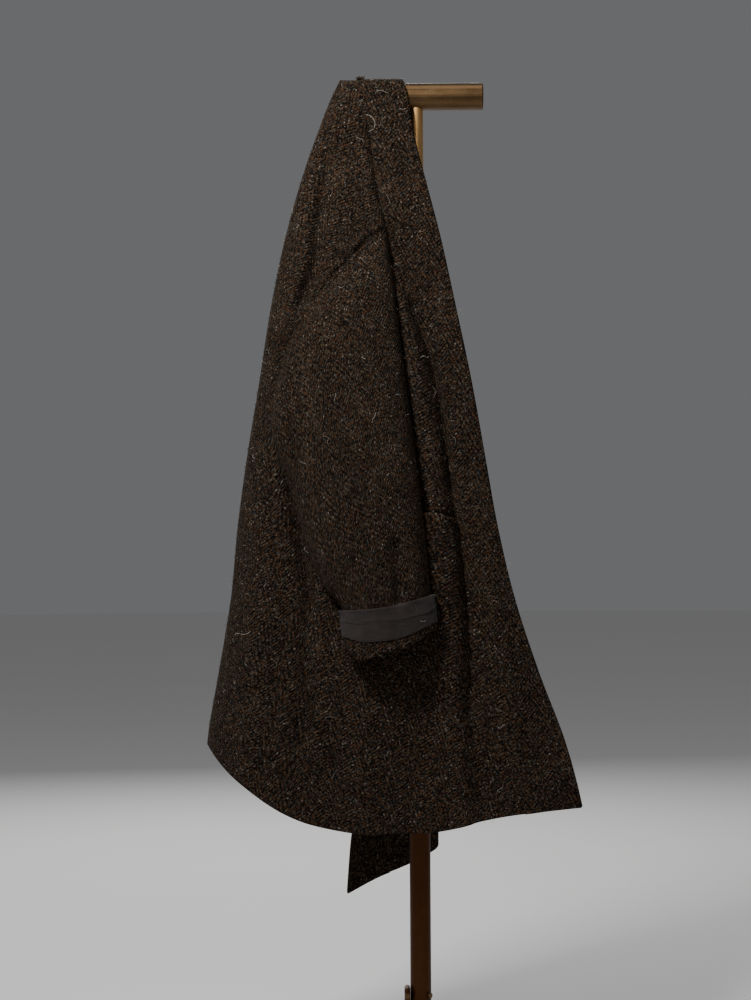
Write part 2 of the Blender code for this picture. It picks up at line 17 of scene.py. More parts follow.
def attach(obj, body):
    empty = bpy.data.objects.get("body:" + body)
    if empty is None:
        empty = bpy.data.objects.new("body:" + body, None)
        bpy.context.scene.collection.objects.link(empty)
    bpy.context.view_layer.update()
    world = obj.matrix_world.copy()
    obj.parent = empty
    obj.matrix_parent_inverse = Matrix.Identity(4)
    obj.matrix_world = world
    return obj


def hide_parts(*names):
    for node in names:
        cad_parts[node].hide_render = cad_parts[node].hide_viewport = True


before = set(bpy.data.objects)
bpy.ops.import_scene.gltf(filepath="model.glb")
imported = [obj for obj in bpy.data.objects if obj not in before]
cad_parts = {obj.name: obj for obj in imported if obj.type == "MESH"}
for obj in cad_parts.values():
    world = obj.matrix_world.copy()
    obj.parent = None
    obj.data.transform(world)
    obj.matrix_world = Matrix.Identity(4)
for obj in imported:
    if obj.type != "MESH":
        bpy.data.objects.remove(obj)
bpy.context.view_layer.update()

MM = 0.001
SEAM_GAP = 0.5
SEWN_GAP = 0.06
CLOTH = 3.0
COLLAR_CLOTH = 6.0
FACING_CLOTH = 1.2
LAID_ON = CLOTH + SEAM_GAP
BAR_HEIGHT = 1380.0
RIDGE_RADIUS = 22.4
CROWN_CORNER = (-0.6, 0.0, 0.8)
NECK_POINT = 70
FRONT_TIP = (78, -60)
FRONT_START = 98
SHOULDER_POINT = 188
UNDERARM = 480

# How finely the sheets are made. A panel's rows are level down to the last level and spread evenly
# from there to the hem; the widths set how many columns it has. Slopes are taken over the probe's
# distance, and points that are closer than the weld's, in metres, become one.
STEP = 4.5
EDGE_STEP = 1.4
RIDGE_STEPS = 12
LAST_LEVEL = 760.0
BELOW_LAST_LEVEL = 260.0
BACK_WIDTH = 330.0
FRONT_WIDTH = 210.0
COLLAR_WIDTH = 100.0
HEM_GUESS = 960.0
HEM_ROUNDS = 30
PROBE = 0.3
RIM_BULGE = 0.3
WELD = 0.00001


def table(names, rows):
    """Columns of a table by name; the first column is the one that the others follow."""
    values = np.array(rows, dtype=float)
    columns = {name: values[:, i] for i, name in enumerate(names.split())}
    columns["follows"] = values[:, 0]
    return columns


def pairs(text):
    """Points from text: two numbers with a comma between them for each."""
    return [tuple(float(part) for part in point.split(",")) for point in text.split()]


def paths(*rows):
    """Folds or creases from text: height and widths, a colon and the points of the path."""
    parts = (row.split(":") for row in rows)
    return [(*map(float, sizes.split()), pairs(path)) for sizes, path in parts]


def read(columns, name, at):
    """Smooth values of a column where the first column is at."""
    x = columns["follows"]
    y = columns[name]
    at = np.clip(at, x[0], x[-1])
    i = np.clip(np.searchsorted(x, at, side="right") - 1, 0, len(x) - 2)
    slopes = np.gradient(y, x)
    span = x[i + 1] - x[i]
    t = (at - x[i]) / span
    start = (1 + 2 * t) * (1 - t) ** 2 * y[i] + t * t * (3 - 2 * t) * y[i + 1]
    bend = t * (1 - t) ** 2 * slopes[i] - t * t * (1 - t) * slopes[i + 1]
    return start + bend * span


def straight(columns, name, at):
    return np.interp(at, columns["follows"], columns[name])


def ease(value, low, high):
    """0 below low, 1 above high, smooth between."""
    t = np.clip((value - low) / (high - low), 0.0, 1.0)
    return t * t * (3 - 2 * t)


def mix(a, b, share):
    return a + (b - a) * share


def bell(value, middle, width):
    return np.exp(-((value - middle) / width) ** 2)


def swelling(value, height, middle, width):
    return height * bell(value, middle, width)


# The folded coat from its right side, as in the solids.
FIGURE = table("drop back depth edge_depth reach", (
    (-22.4, -105, 22.4, 22.4, 15),
    (0, -116, 22.4, 22.0, 20),
    (50, -136, 27, 25, 25),
    (100, -154, 33, 28, 30),
    (200, -183, 45, 36, 38),
    (300, -204, 56, 45, 45),
    (400, -220, 65, 55, 51),
    (500, -237, 73, 64, 56),
    (600, -251, 80, 70, 61),
    (700, -261, 86, 73, 66),
    (800, -278, 92, 74, 71),
    (900, -295, 97, 72, 76),
    (1000, -297, 100, 70, 78),
    (1130, -298, 102, 70, 80),
))
RIGHT_EDGE = table("drop x", pairs(
    "-22.4,-19 0,-13 50,-6 100,6 200,31 300,52 400,72 500,89 600,106 700,129 800,161 900,198 "
    "985,220 1130,236"))
LEFT_EDGE = table("drop x", pairs(
    "-22.4,-19 0,-16 60,-4 100,4 200,28 350,60 500,87 600,104 700,121 800,136 900,151 1000,162 "
    "1121,172"))
RIGHT_COLLAR_SEAM = table("drop x", pairs(
    "-22.4,-78 14,-71 70,-61 125,-50 188,-34 229,-26 274,-15 327,4 371,18 431,29 490,37 540,46 "
    "587,54 650,60 700,66 780,82 865,105 932,125 1003,145 1130,165"))
LEFT_COLLAR_SEAM = table("drop x", pairs(
    "-22.4,-78 14,-71 70,-61 125,-50 188,-34 280,-14 370,5 460,21 560,37 660,52 800,70 900,86 "
    "1000,102 1121,114"))
SHOULDER_SEAM = table("drop x", pairs(
    "70,-61 98,-60 128,-56 158,-50 188,-44"))
BACK_ARMHOLE = table("drop x", pairs(
    "188,-44 200,-58 216,-75 236,-94 258,-114 280,-132 304,-148 332,-163 362,-177 394,-187 "
    "424,-194 448,-197 466,-196 480,-193"))
FRONT_ARMHOLE = table("drop x", pairs(
    "188,-44 236,-45 304,-57 362,-77 394,-92 424,-111 448,-135 466,-165 480,-193"))
SIDE_SEAM = table("drop x", pairs(
    "480,-193 510,-184 545,-173 580,-164 620,-154 660,-145 700,-138 754,-133 824,-141 904,-149 "
    "1000,-156 1130,-160"))
RIGHT_HEM = table("x drop", pairs(
    "-298,899 -290,906 -278,919 -267,930 -236,956 -196,984 -122,1011 -76,1017 -28,1018 28,1015 "
    "79,1005 109,998 164,991 240,984"))
LEFT_HEM = table("x drop", pairs(
    "-298,899 -290,906 -267,930 -236,956 -196,983 -122,1010 -77,1019 -28,1031 13,1049 57,1070 "
    "84,1084 129,1103 180,1130"))
TURN_LINE = table("drop x", pairs(
    "-22.4,6 0,4 60,4 206,14 350,22 500,28 708,32 923,31 1062,27 1130,27"))
TURN_RADIUS = 14.0
# Large folds: height, left width, right width, path of (drop, x).
RIGHT_FOLDS = paths(
    "-13 10 26: 140,-44 188,-34 274,-15 327,4 371,18 431,29 490,37 560,50 646,62 760,68 900,73 "
    "1040,80",
    "-8 16 14: 20,-112 124,-126 200,-135 273,-146 336,-165 400,-184",
    "-10 15 13: 480,-184 562,-168 644,-159 712,-154 767,-153 860,-156",
    "-8 24 24: 790,10 860,-2 905,-8 1010,-20",
    "7 22 22: 560,-212 700,-226 900,-238",
    "6 20 30: 820,-90 920,-84 1040,-80",
)
LEFT_FOLDS = paths(
    "-11 12 24: 140,-44 188,-34 274,-17 350,-6 450,-2 560,-6 700,-14",
    "-8 16 14: 30,-110 150,-128 260,-150 390,-186",
    "-10 16 16: 500,-186 600,-166 720,-156 880,-160",
    "-9 22 26: 760,-60 880,-52 1030,-46",
    "7 24 24: 600,-216 760,-232 900,-240",
)
FOLD_FADE = 70.0

# Small creases: height, width, path of (x, drop), first the sheets' and then the sleeves' own.
RIGHT_CREASES = paths(
    "-4.5 4: -75,-4 -71,16 -66,48 -62,84",
    "-7.5 4.4: -62,84 -58,112 -52,144 -45,178 -39,206 -35,236",
    "3.4 6.5: -86,4 -80,40 -75,84 -70,114 -64,146 -56,178",
    "-8 7: -175,552 -167,606 -156,655 -147,712",
    "-6 7.5: -134,150 -137,190 -141,232 -152,266 -164,296",
    "6 4.2: -52,186 -66,192 -78,203 -88,216",
    "3.2 4.5: -96,226 -114,245 -130,264 -148,290 -161,314",
    "-5.5 3.5: 4,585 20,588 36,584",
    "-7.5 6: -36,232 -31,268 -25,330 -15,408 -5,494 6,604 12,690",
    "-9 7: -8,296 5,332 18,366 31,412 39,456 43,520 47,584",
    "-7 10: 12,372 26,431 37,494 44,548",
    "2 6: -18,300 -5,336 7,370 19,414 26,458 30,520 32,580",
    "6 14: -28,284 -12,354 1,424 11,494 22,578 30,640 36,704 42,816",
    "-8 9: 50,592 58,660 62,740 66,860",
    "3 12: -99,49 -109,120 -120,190",
    "2 4: -92,24 -83,17 -74,24",
    "-1.6 4: -90,34 -82,28 -72,36",
    "-2.6 14: -79,791 -103,902 -115,1004",
    "3 11: -128,768 -145,903 -152,998",
    "-3 14: -180,713 -196,835 -208,930",
    "5 14: -158,310 -184,416 -203,500",
    "4 20: 122,783 124,877 132,972",
    "-3 16: 163,837 169,918 172,983",
    "1.2 14: -39,7 -16,149 14,303 46,468 83,646",
    "3 16: -1,917 5,971 9,1009",
    "2 9: -236,560 -226,640 -214,700",
    "-1.8 10: -206,560 -200,640 -190,690",
    "2 14: 20,640 24,728 22,800",
    "-2 18: -60,880 -48,950 -44,1010",
)
LEFT_CREASES = paths(
    "-3.2 4: -75,-4 -71,16 -66,48 -62,84",
    "-7 4.4: -62,84 -57,112 -51,144 -44,178 -38,206 -34,236",
    "2.6 6.5: -86,6 -79,44 -73,86 -68,116 -62,148",
    "-4 6: -36,236 -29,290 -20,360 -8,440 4,540",
    "5.5 4.2: -54,188 -68,195 -80,207 -90,221",
    "2.2 4.5: -98,228 -116,248 -132,268 -150,296",
    "-7 7: -174,566 -165,612 -154,660 -145,716",
    "-5 7.5: -132,140 -138,200 -150,262 -166,310",
    "3 12: -96,50 -108,130 -122,200",
    "-2.6 15: -90,800 -112,900 -122,1000",
    "3 12: -130,740 -142,880 -150,990",
    "-3 14: -184,690 -200,820 -212,920",
    "2.5 12: -166,340 -188,440 -204,540",
    "2.2 9: -232,540 -224,620 -212,690",
    "1.2 14: -39,10 -18,150 8,290",
    "2.4 16: -20,900 -14,960 -8,1030",
    "-2 16: 30,800 38,900 44,1020",
    "2 18: 96,820 110,940 122,1060",
    "-2.2 12: 60,940 66,1010 70,1060",
)
RIGHT_SLEEVE_CREASES = paths(
    "-4 8: -178,488 -172,498 -163,507",
    "3 8: -189,423 -181,442 -173,464",
    "-3 7: -153,558 -142,566",
    "-5 5.5: -137,676 -122,692 -108,712",
    "-11 7: -33,622 -30,672 -28,730",
    "3.4 7: -46,622 -43,666 -43,728",
    "2 6: -7,615 -6,659 -4,712",
    "2.5 13: -162,539 -138,590 -111,645",
    "-2.8 12: -138,533 -113,585 -89,640",
    "-2.2 4.5: -153,356 -93,358 -29,362",
    "2 16: -90,289 -77,400 -64,509",
    "-2 14: -120,300 -118,380 -104,470",
    "-2 8: -186,400 -168,408 -150,424",
    "2 7: -184,470 -162,478 -140,498",
    "-1.8 7: -120,690 -100,672 -84,640",
    "1.6 8: -60,560 -56,630 -58,700",
)
LEFT_SLEEVE_CREASES = paths(
    "-4 9: -180,500 -168,506 -156,520",
    "3 8: -188,440 -178,462 -168,480",
    "-9 7: -36,600 -32,660 -30,724",
    "3 8: -50,600 -46,660 -46,716",
    "2.5 13: -158,560 -130,610 -104,660",
    "-2.8 12: -132,540 -108,600 -84,660",
    "-1.3 6: -150,351 -90,354 -30,361",
    "2 16: -94,300 -84,400 -70,500",
    "-2.2 10: -186,400 -160,412 -136,436",
    "1.8 9: -70,560 -66,630 -70,700",
)

RIGHT = {"sign": -1, "edge": RIGHT_EDGE, "seam": RIGHT_COLLAR_SEAM, "hem": RIGHT_HEM,
         "folds": RIGHT_FOLDS, "creases": RIGHT_CREASES,
         "sleeve_creases": RIGHT_SLEEVE_CREASES, "phase": 0.0}
LEFT = {"sign": 1, "edge": LEFT_EDGE, "seam": LEFT_COLLAR_SEAM, "hem": LEFT_HEM,
        "folds": LEFT_FOLDS, "creases": LEFT_CREASES,
        "sleeve_creases": LEFT_SLEEVE_CREASES, "phase": 1.7}

SLEEVE = table("along left_x left_drop right_x right_drop fill stand", (
    (0.00, -193, 480, -44, 188, 0.5, 4.6),
    (0.08, -192, 492, -40, 214, 14, 6.5),
    (0.20, -187, 512, -35, 256, 27, 7.5),
    (0.35, -176, 549, -28, 322, 35, 9),
    (0.50, -162, 596, -18, 405, 39, 12),
    (0.65, -148, 642, -8, 490, 41, 16),
    (0.80, -126, 684, 5, 600, 40, 19),
    (0.90, -105, 711, 13, 690, 38, 20),
    (1.00, -99, 754, 18, 737, 36, 20),
))
SLEEVE_AROUND = 96
SLEEVE_LAP = 3.0
ARMHOLE_STEPS = 240
UNDER_SAG = 2.0
SAG_FULL = 0.3
CAP_FADE = 0.62
SHARPEST_CORNER = 0.45
# Middle and width, along the sleeve, of the ridge and the groove at its seam.
SEAM_RIDGE = (0.011, 0.0055)
SEAM_GROOVE = (0.024, 0.006)
# The sleeve's creases fade in below its seam and out above its cuff.
CREASES_IN = (0.01, 0.05)
CREASES_OUT = (0.899, 0.912)
CUFF_START = 0.905
CUFF_SHORT_ROW = 0.004
CUFF_BEND = 7
FACING_END = 0.985
FACING_SHORT_ROW = 0.003
# First, last and number of the even rows, as shares of the sleeve's length.
SLEEVE_HEAD = (0.0, 0.05, 20)
SLEEVE_BODY = (0.05, 0.99, 110)
CUFF_ROWS = (0.915, 1.0, 16)
FACING_ROWS = (0.912, 0.978, 26)
FACING_OUT = LAID_ON + CLOTH / 2 + SEAM_GAP + FACING_CLOTH / 2
TUCK_AT = 0.944
TUCK_DEPTH = 0.5
# The sleeve's end hangs lower in its middle, as a bow, and near its left edge, as a toe; the
# cuff's lip adds to the bow.
BOW = 14.0
BOW_START = 0.84
BOW_END = 1.02
TOE = 18.0
TOE_ACROSS = 0.14
TOE_WIDTH = 0.16
TOE_START = 0.98
LIP = 6.0

POCKET_SHARES = (0.2, 0.8)
POCKET_LEVELS = (590, 630, 672, 716, 760)
POCKET_HEM_SHARE = 0.2
POCKET_WIDTH = 170.0
POCKET_HEIGHT = 222.0
POCKET_OPEN = 8.0
POCKET_GRAIN = 7.0
SEWN_DOWN = 8.0
# Height, middle and width of the rolled top edge, of the dip below it and of the pressed edges.
TOP_ROLL = (2.6, 0.014, 0.014)
TOP_DIP = (-0.8, 0.06, 0.016)
PRESSED = (0.6, 3.0, 3.0)


# The coat's two sheets.


def along_path(x, drop, path):
    """Distance of each point from a path, and how far along the path it is nearest, 0 to 1."""
    points = np.array(path, dtype=float)
    lengths = np.hypot(*np.diff(points, axis=0).T)
    total = lengths.sum()
    nearest = np.full(np.shape(x), 1e9)
    place_on = np.zeros(np.shape(x))
    before = 0.0
    for (ax, ay), (bx, by), length in zip(points[:-1], points[1:], lengths):
        t = np.clip(((x - ax) * (bx - ax) + (drop - ay) * (by - ay)) / length ** 2, 0.0, 1.0)
        away = np.hypot(x - ax - t * (bx - ax), drop - ay - t * (by - ay))
        closer = away < nearest
        nearest = np.where(closer, away, nearest)
        place_on = np.where(closer, (before + t * length) / total, place_on)
        before += length
    return nearest, place_on


def crease_height(creases, x, drop):
    total = np.zeros(np.shape(x))
    for height, width, path in creases:
        away, share = along_path(x, drop, path)
        uneven = 0.85 + 0.15 * np.sin(9 * share + height)
        total += height * uneven * bell(away, 0.0, width)
    return total


def slack(side, x, drop):
    """Slow unevenness of heavy cloth."""
    p = side["phase"]
    return (0.55 * np.sin(x / 17.0 + drop / 41.0 + p) * np.sin(drop / 23.0 - x / 60.0 + 2 * p)
            + 0.35 * np.sin(x / 9.0 - drop / 14.0 + 3 * p) * np.sin(drop / 31.0 + x / 19.0))


def fold_height(side, x, drop):
    """Sum of the large folds, small creases and unevenness of a half."""
    total = np.zeros(np.shape(x))
    for height, left_width, right_width, path in side["folds"]:
        drops, xs = zip(*path)
        middle = np.interp(drop, drops, xs)
        width = np.where(x < middle, left_width, right_width)
        fade = ease(drop, drops[0], drops[0] + FOLD_FADE)
        fade = fade * (1 - ease(drop, drops[-1], drops[-1] + FOLD_FADE))
        total += height * fade * bell(x, middle, width)
    settled = ease(drop, -8.0, 60.0)
    return total + settled * (crease_height(side["creases"], x, drop) + slack(side, x, drop))


def half_depth(drop):
    over = np.sqrt(np.maximum(RIDGE_RADIUS ** 2 - np.minimum(drop, 0.0) ** 2, 0.0))
    return np.where(drop < 0, over, read(FIGURE, "depth", drop))


def point_at(x, y, drop):
    return np.stack(np.broadcast_arrays(x, y, BAR_HEIGHT - drop), axis=-1) * MM


def place(side, x, drop, lift=0.0):
    """Points of a half's cloth, or of what lies a lift outside it, in metres."""
    back = read(FIGURE, "back", drop)
    reach = read(FIGURE, "reach", drop)
    lean = np.clip((back + reach - x) / reach, 0.0, 1.0)
    rise = np.sqrt(1 - lean * lean)
    edge = read(side["edge"], "x", drop)
    share = np.clip((x - back - reach) / (edge - back - reach), 0.0, 1.0)
    out = (half_depth(drop) + fold_height(side, x, drop)) * rise
    if side is RIGHT:
        fall = read(FIGURE, "depth", np.maximum(drop, 0)) - read(FIGURE, "edge_depth", drop)
        out = out - fall * share ** 2
        return point_at(x - lift * lean, -(out + lift * rise), drop)
    start = read(TURN_LINE, "x", drop) - TURN_RADIUS
    angle = np.clip((x - start) / TURN_RADIUS, 0.0, math.pi)
    past = np.maximum(x - start - math.pi * TURN_RADIUS, 0.0)
    radius = TURN_RADIUS + lift
    turned = x > start
    px = np.where(turned, start + radius * np.sin(angle) - past, x - lift * lean)
    py = np.where(turned, out - TURN_RADIUS + radius * np.cos(angle), out + lift * rise)
    return point_at(px, py, drop)


def facing_out(side, x, drop):
    """The sheet's own direction outwards, folds and all."""
    back = read(FIGURE, "back", drop)
    low = np.maximum(drop - PROBE, -RIDGE_RADIUS)
    down = place(side, x, drop + PROBE) - place(side, x, low)
    along = place(side, x + PROBE, drop) - place(side, np.maximum(x - PROBE, back), drop)
    normal = np.cross(along, down) * side["sign"]
    on_ridge = drop <= -RIDGE_RADIUS + PROBE
    on_back = x <= back + PROBE
    normal[..., 1] = np.where(on_ridge | on_back, 0.0, normal[..., 1])
    normal = np.where((on_ridge & on_back)[..., None], np.array(CROWN_CORNER), normal)
    return normal / np.linalg.norm(normal, axis=-1, keepdims=True)


def unit(vectors):
    return vectors / np.maximum(np.linalg.norm(vectors, axis=-1, keepdims=True), 1e-12)


# Columns of the panels: x by share across and drop.


def back_x(side, share, drop):
    neck = read(side["seam"], "x", drop) - SEWN_GAP / 2
    shoulder = straight(SHOULDER_SEAM, "x", drop) - SEWN_GAP / 2
    armhole = straight(BACK_ARMHOLE, "x", drop)
    low = straight(SIDE_SEAM, "x", drop) - SEWN_GAP / 2
    edge = np.where(drop <= NECK_POINT, neck,
                    np.where(drop <= SHOULDER_POINT, shoulder,
                             np.where(drop < UNDERARM, armhole, low)))
    return mix(read(FIGURE, "back", drop), edge, 1 - np.cos(share * math.pi / 2))


def front_x(side, share, drop):
    shoulder = straight(SHOULDER_SEAM, "x", drop) + SEWN_GAP / 2
    armhole = straight(FRONT_ARMHOLE, "x", drop)
    low = straight(SIDE_SEAM, "x", drop) + SEWN_GAP / 2
    edge = np.where(drop <= SHOULDER_POINT, shoulder, np.where(drop < UNDERARM, armhole, low))
    seam = read(side["seam"], "x", drop) - SEWN_GAP / 2
    return mix(edge, seam, np.sin(share * math.pi / 2))


def collar_x(side, share, drop):
    seam = read(side["seam"], "x", drop) + SEWN_GAP / 2
    return mix(seam, read(side["edge"], "x", drop), share)


def hem_drop(side, x_at, share):
    """Drops at which a panel's columns reach the hem."""
    drop = np.full(np.shape(share), HEM_GUESS)
    for _ in range(HEM_ROUNDS):
        drop = mix(drop, read(side["hem"], "drop", x_at(side, share, drop)), 0.5)
    return drop


def spaced(length):
    """Even shares from 0 to 1 with a short first and last step, for a soft edge."""
    shares = np.linspace(0.0, 1.0, max(round(length / STEP), 2) + 1)
    near = EDGE_STEP / length
    return np.concatenate(([0.0, near], shares[1:-1], [1 - near, 1.0]))


def drops_of(side, x_at, shares, start):
    """Drops of a panel's points, columns by rows, from a start level to the hem."""
    over = -RIDGE_RADIUS * np.cos(np.linspace(0, math.pi / 2, RIDGE_STEPS))
    down = np.arange(STEP, LAST_LEVEL, STEP)
    levels = np.concatenate((over, down, [LAST_LEVEL]))
    levels = np.concatenate(([start], levels[levels > start + STEP / 2]))
    upper = np.broadcast_to(levels, (len(shares), len(levels)))
    hem = hem_drop(side, x_at, shares)[:, None]
    low = spaced(BELOW_LAST_LEVEL)[2:]
    return np.concatenate((upper, mix(LAST_LEVEL, hem, low[None, :])), axis=1)


# Meshes of cloth.


def texture_places(middle, reference, shear=0.0, offset=0.0):
    """Real distances across and down a grid, in metres: across from a reference column."""
    across = np.linalg.norm(np.diff(middle, axis=0), axis=-1)
    across = np.concatenate((np.zeros((1, middle.shape[1])), np.cumsum(across, axis=0)))
    across = across - across[reference]
    down = np.linalg.norm(np.diff(middle, axis=1), axis=-1)
    down = np.concatenate((np.zeros((middle.shape[0], 1)), np.cumsum(down, axis=1)), axis=1)
    return np.stack((across + offset, down + shear * np.abs(across)), axis=-1)


def mesh_of(name, points, faces, places):
    """A mesh with a texture place for each of its points."""
    mesh = bpy.data.meshes.new(name)
    mesh.from_pydata(points.tolist(), [], faces)
    mesh.validate()
    layer = mesh.uv_layers.new(name="UVMap")
    loops = np.zeros(len(mesh.loops), dtype=np.int32)
    mesh.loops.foreach_get("vertex_index", loops)
    layer.data.foreach_set("uv", places[loops].astype(np.float32).ravel())
    return mesh


def add(name, data):
    thing = bpy.data.objects.new(name, data)
    bpy.context.scene.collection.objects.link(thing)
    return thing


def show(name, mesh, slot):
    """Add a mesh as a piece on the part's one body."""
    mesh.shade_smooth()
    thing = add(name, mesh)
    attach(thing, "root")
    return thing


# The four edges of a grid, each as its outermost line or the line some steps further in.
EDGES = {"n": lambda grid, step=0: grid[:, step],
         "s": lambda grid, step=0: grid[::-1, -1 - step],
         "w": lambda grid, step=0: grid[step, ::-1],
         "e": lambda grid, step=0: grid[-1 - step]}


def rim(edge, grid, thick):
    """Points a little outside a grid's edge, for its rounded turn."""
    line = edge(grid)
    return line + unit(line - edge(grid, 1)) * thick * MM * RIM_BULGE


def wall(name, outer, inner, places, ring, free, thick):
    """A closed wall of cloth between two grids. free names its rounded edges: n, s, w or e."""
    columns, rows = outer.shape[:2]
    first_inner = columns * rows
    count = 2 * first_inner
    index = np.arange(first_inner).reshape(columns, rows)
    if ring:
        index = np.concatenate((index, index[:1]))
    points = [outer.reshape(-1, 3), inner.reshape(-1, 3)]
    uvs = [places.reshape(-1, 2), places.reshape(-1, 2)]
    faces = []

    def quads(a, b, c, d):
        faces.append(np.stack((a.ravel(), b.ravel(), c.ravel(), d.ravel()), axis=1))

    a, b = index[:-1, :-1], index[:-1, 1:]
    c, d = index[1:, 1:], index[1:, :-1]
    quads(a, b, c, d)
    quads(a + first_inner, d + first_inner, c + first_inner, b + first_inner)
    for key, edge in EDGES.items():
        if ring and key in "we":
            continue
        line = edge(index)
        if key not in free:
            quads(line[:-1], line[1:], line[1:] + first_inner, line[:-1] + first_inner)
            continue
        points.append((rim(edge, outer, thick) + rim(edge, inner, thick)) / 2)
        uvs.append(edge(places))
        new = count + np.arange(len(points[-1]))
        count += len(new)
        if ring:
            new = np.append(new, new[0]) if key == "n" else np.append(new[-1], new)
        quads(line[:-1], line[1:], new[1:], new[:-1])
        quads(new[:-1], new[1:], line[1:] + first_inner, line[:-1] + first_inner)
    mesh = mesh_of(name, np.concatenate(points), np.concatenate(faces).tolist(),
                   np.concatenate(uvs))
    bm = bmesh.new()
    bm.from_mesh(mesh)
    bmesh.ops.remove_doubles(bm, verts=bm.verts, dist=WELD)
    bmesh.ops.recalc_face_normals(bm, faces=bm.faces)
    if bm.calc_volume(signed=True) < 0:
        bmesh.ops.reverse_faces(bm, faces=bm.faces)
    bm.to_mesh(mesh)
    bm.free()
    return mesh


# Outer skins of the wool, and their outward directions, for the loose hairs that lie on them.
GRIDS = []


def sheet(name, node, outer, inner, places, held="hung", rests_on="bar", ring=False, free="",
          thick=CLOTH, slot="tweed"):
    """A wall of cloth that stands for its solid, and hides the solid."""
    thing = show(name, wall(name, outer, inner, places, ring, free, thick), slot)
    if slot == "tweed":
        GRIDS.append((outer, unit(outer - inner)))
    grid = (outer + inner) / 2
    if ring:
        grid = np.concatenate((grid, grid[:1]))
    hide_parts(node)
    return thing


# Panels.


def skins(middle, out, thick):
    return middle + out * thick / 2 * MM, middle - out * thick / 2 * MM


def halves(x_at, shares):
    """Middles and outward directions of the left and right halves of a piece over the ridge."""
    for side in (LEFT, RIGHT):
        drops = drops_of(side, x_at, shares, -RIDGE_RADIUS)
        x = x_at(side, shares[:, None], drops)
        yield np.array((place(side, x, drops), facing_out(side, x, drops)))


def build_back():
    shares = spaced(BACK_WIDTH)
    left, right = halves(back_x, shares)
    middle, out = np.concatenate((left[:, ::-1], right[:, 1:]), axis=1)
    places = texture_places(middle, len(shares) - 1, shear=-0.19, offset=0.018)
    return sheet("coat_back", "back", *skins(middle, out, CLOTH), places, held="folded", free="s")


def build_front(word, side):
    shares = spaced(FRONT_WIDTH)
    drops = drops_of(side, front_x, shares, FRONT_START)
    x = front_x(side, shares[:, None], drops)
    tip_drop, tip_x = FRONT_TIP
    drops = np.insert(drops, 0, tip_drop, axis=1)
    x = np.insert(x, 0, tip_x, axis=1)
    outer, inner = skins(place(side, x, drops), facing_out(side, x, drops), CLOTH)
    places = np.stack((x, drops), axis=-1) * MM
    return sheet(f"coat_front_{word}", f"front_{word}", outer, inner, places,
                 rests_on="coat_back", free="s")


def build_collar():
    left, right = halves(collar_x, spaced(COLLAR_WIDTH))
    middle, out = np.concatenate((left[:, :, ::-1], right[:, :, 1:]), axis=2)
    places = texture_places(middle, -1, offset=0.041)
    return sheet("coat_collar", "shawl_collar", *skins(middle, out, COLLAR_CLOTH), places,
                 free="nse", thick=COLLAR_CLOTH)


# Sleeves.


def armhole_points(armhole, share, towards):
    """Where the sleeve's edge meets an armhole, a little over the seam: x and drop."""
    drops = np.linspace(UNDERARM, SHOULDER_POINT, ARMHOLE_STEPS)
    xs = straight(armhole, "x", drops)
    steps = np.hypot(np.diff(xs), np.diff(drops))
    run = np.concatenate(([0.0], np.cumsum(steps))) / steps.sum()
    lap = SLEEVE_LAP * np.sin(math.pi * share) * towards
    return np.interp(share, run, xs) + lap, np.interp(share, run, drops) + lap


def sleeve_rings(side, along, out=0.0, lower=0.0):
    """Rings of a sleeve or of what is wrapped round it: a grid of sides by rows.

    along is 0 at the armhole and 1 at the turned-up end, out a distance outside the sleeve's
    middle and lower a distance below it.
    """
    level = along[None, :]
    turn = (2 * math.pi * np.arange(SLEEVE_AROUND) / SLEEVE_AROUND)[:, None]
    over = turn <= math.pi
    left_x, left_drop = read(SLEEVE, "left_x", level), read(SLEEVE, "left_drop", level)
    right_x, right_drop = read(SLEEVE, "right_x", level), read(SLEEVE, "right_drop", level)
    width = np.hypot(right_x - left_x, right_drop - left_drop)
    fill = np.where(over, read(SLEEVE, "fill", level), UNDER_SAG * ease(level, 0.0, SAG_FULL))
    u = width * (1 - np.cos(turn)) / 2
    h = read(SLEEVE, "stand", level) + fill * np.sin(turn)
    flat = np.stack((u, h), axis=-1)
    steps = np.roll(flat, -1, axis=0) - flat
    normals = unit(np.stack((-steps[..., 1], steps[..., 0]), axis=-1))
    normal = unit(normals + np.roll(normals, 1, axis=0))
    even = np.maximum(np.abs((normal * normals).sum(axis=-1)), SHARPEST_CORNER)
    share = (u + normal[..., 0] * out / even) / width
    lift = h + normal[..., 1] * out / even

    # The upper rings follow the armholes: the back's above and the front's below.
    root_share = np.clip(share, 0.0, 1.0)
    roots = zip(armhole_points(BACK_ARMHOLE, root_share, -1),
                armhole_points(FRONT_ARMHOLE, root_share, 1))
    root_x, root_drop = (np.where(over, behind, before) for behind, before in roots)
    bulge_x = root_x - mix(SLEEVE["left_x"][0], SLEEVE["right_x"][0], root_share)
    bulge_drop = root_drop - mix(SLEEVE["left_drop"][0], SLEEVE["right_drop"][0], root_share)
    cap = 1 - ease(level, 0.0, CAP_FADE)
    x = mix(left_x, right_x, share) + bulge_x * cap
    drop = mix(left_drop, right_drop, share) + bulge_drop * cap

    on_top = np.maximum(np.sin(turn), 0.0) ** 0.5
    settled = ease(level, *CREASES_IN)
    creased = settled * (1 - ease(level, *CREASES_OUT))
    lift = lift + on_top * creased * crease_height(side["sleeve_creases"], x, drop)
    lift = lift + on_top * settled * slack(side, x + 40, drop * 1.3)
    lift = lift + on_top * seam_pucker(level, share)
    return place(side, x, drop + lower + end_curve(level, share), lift)


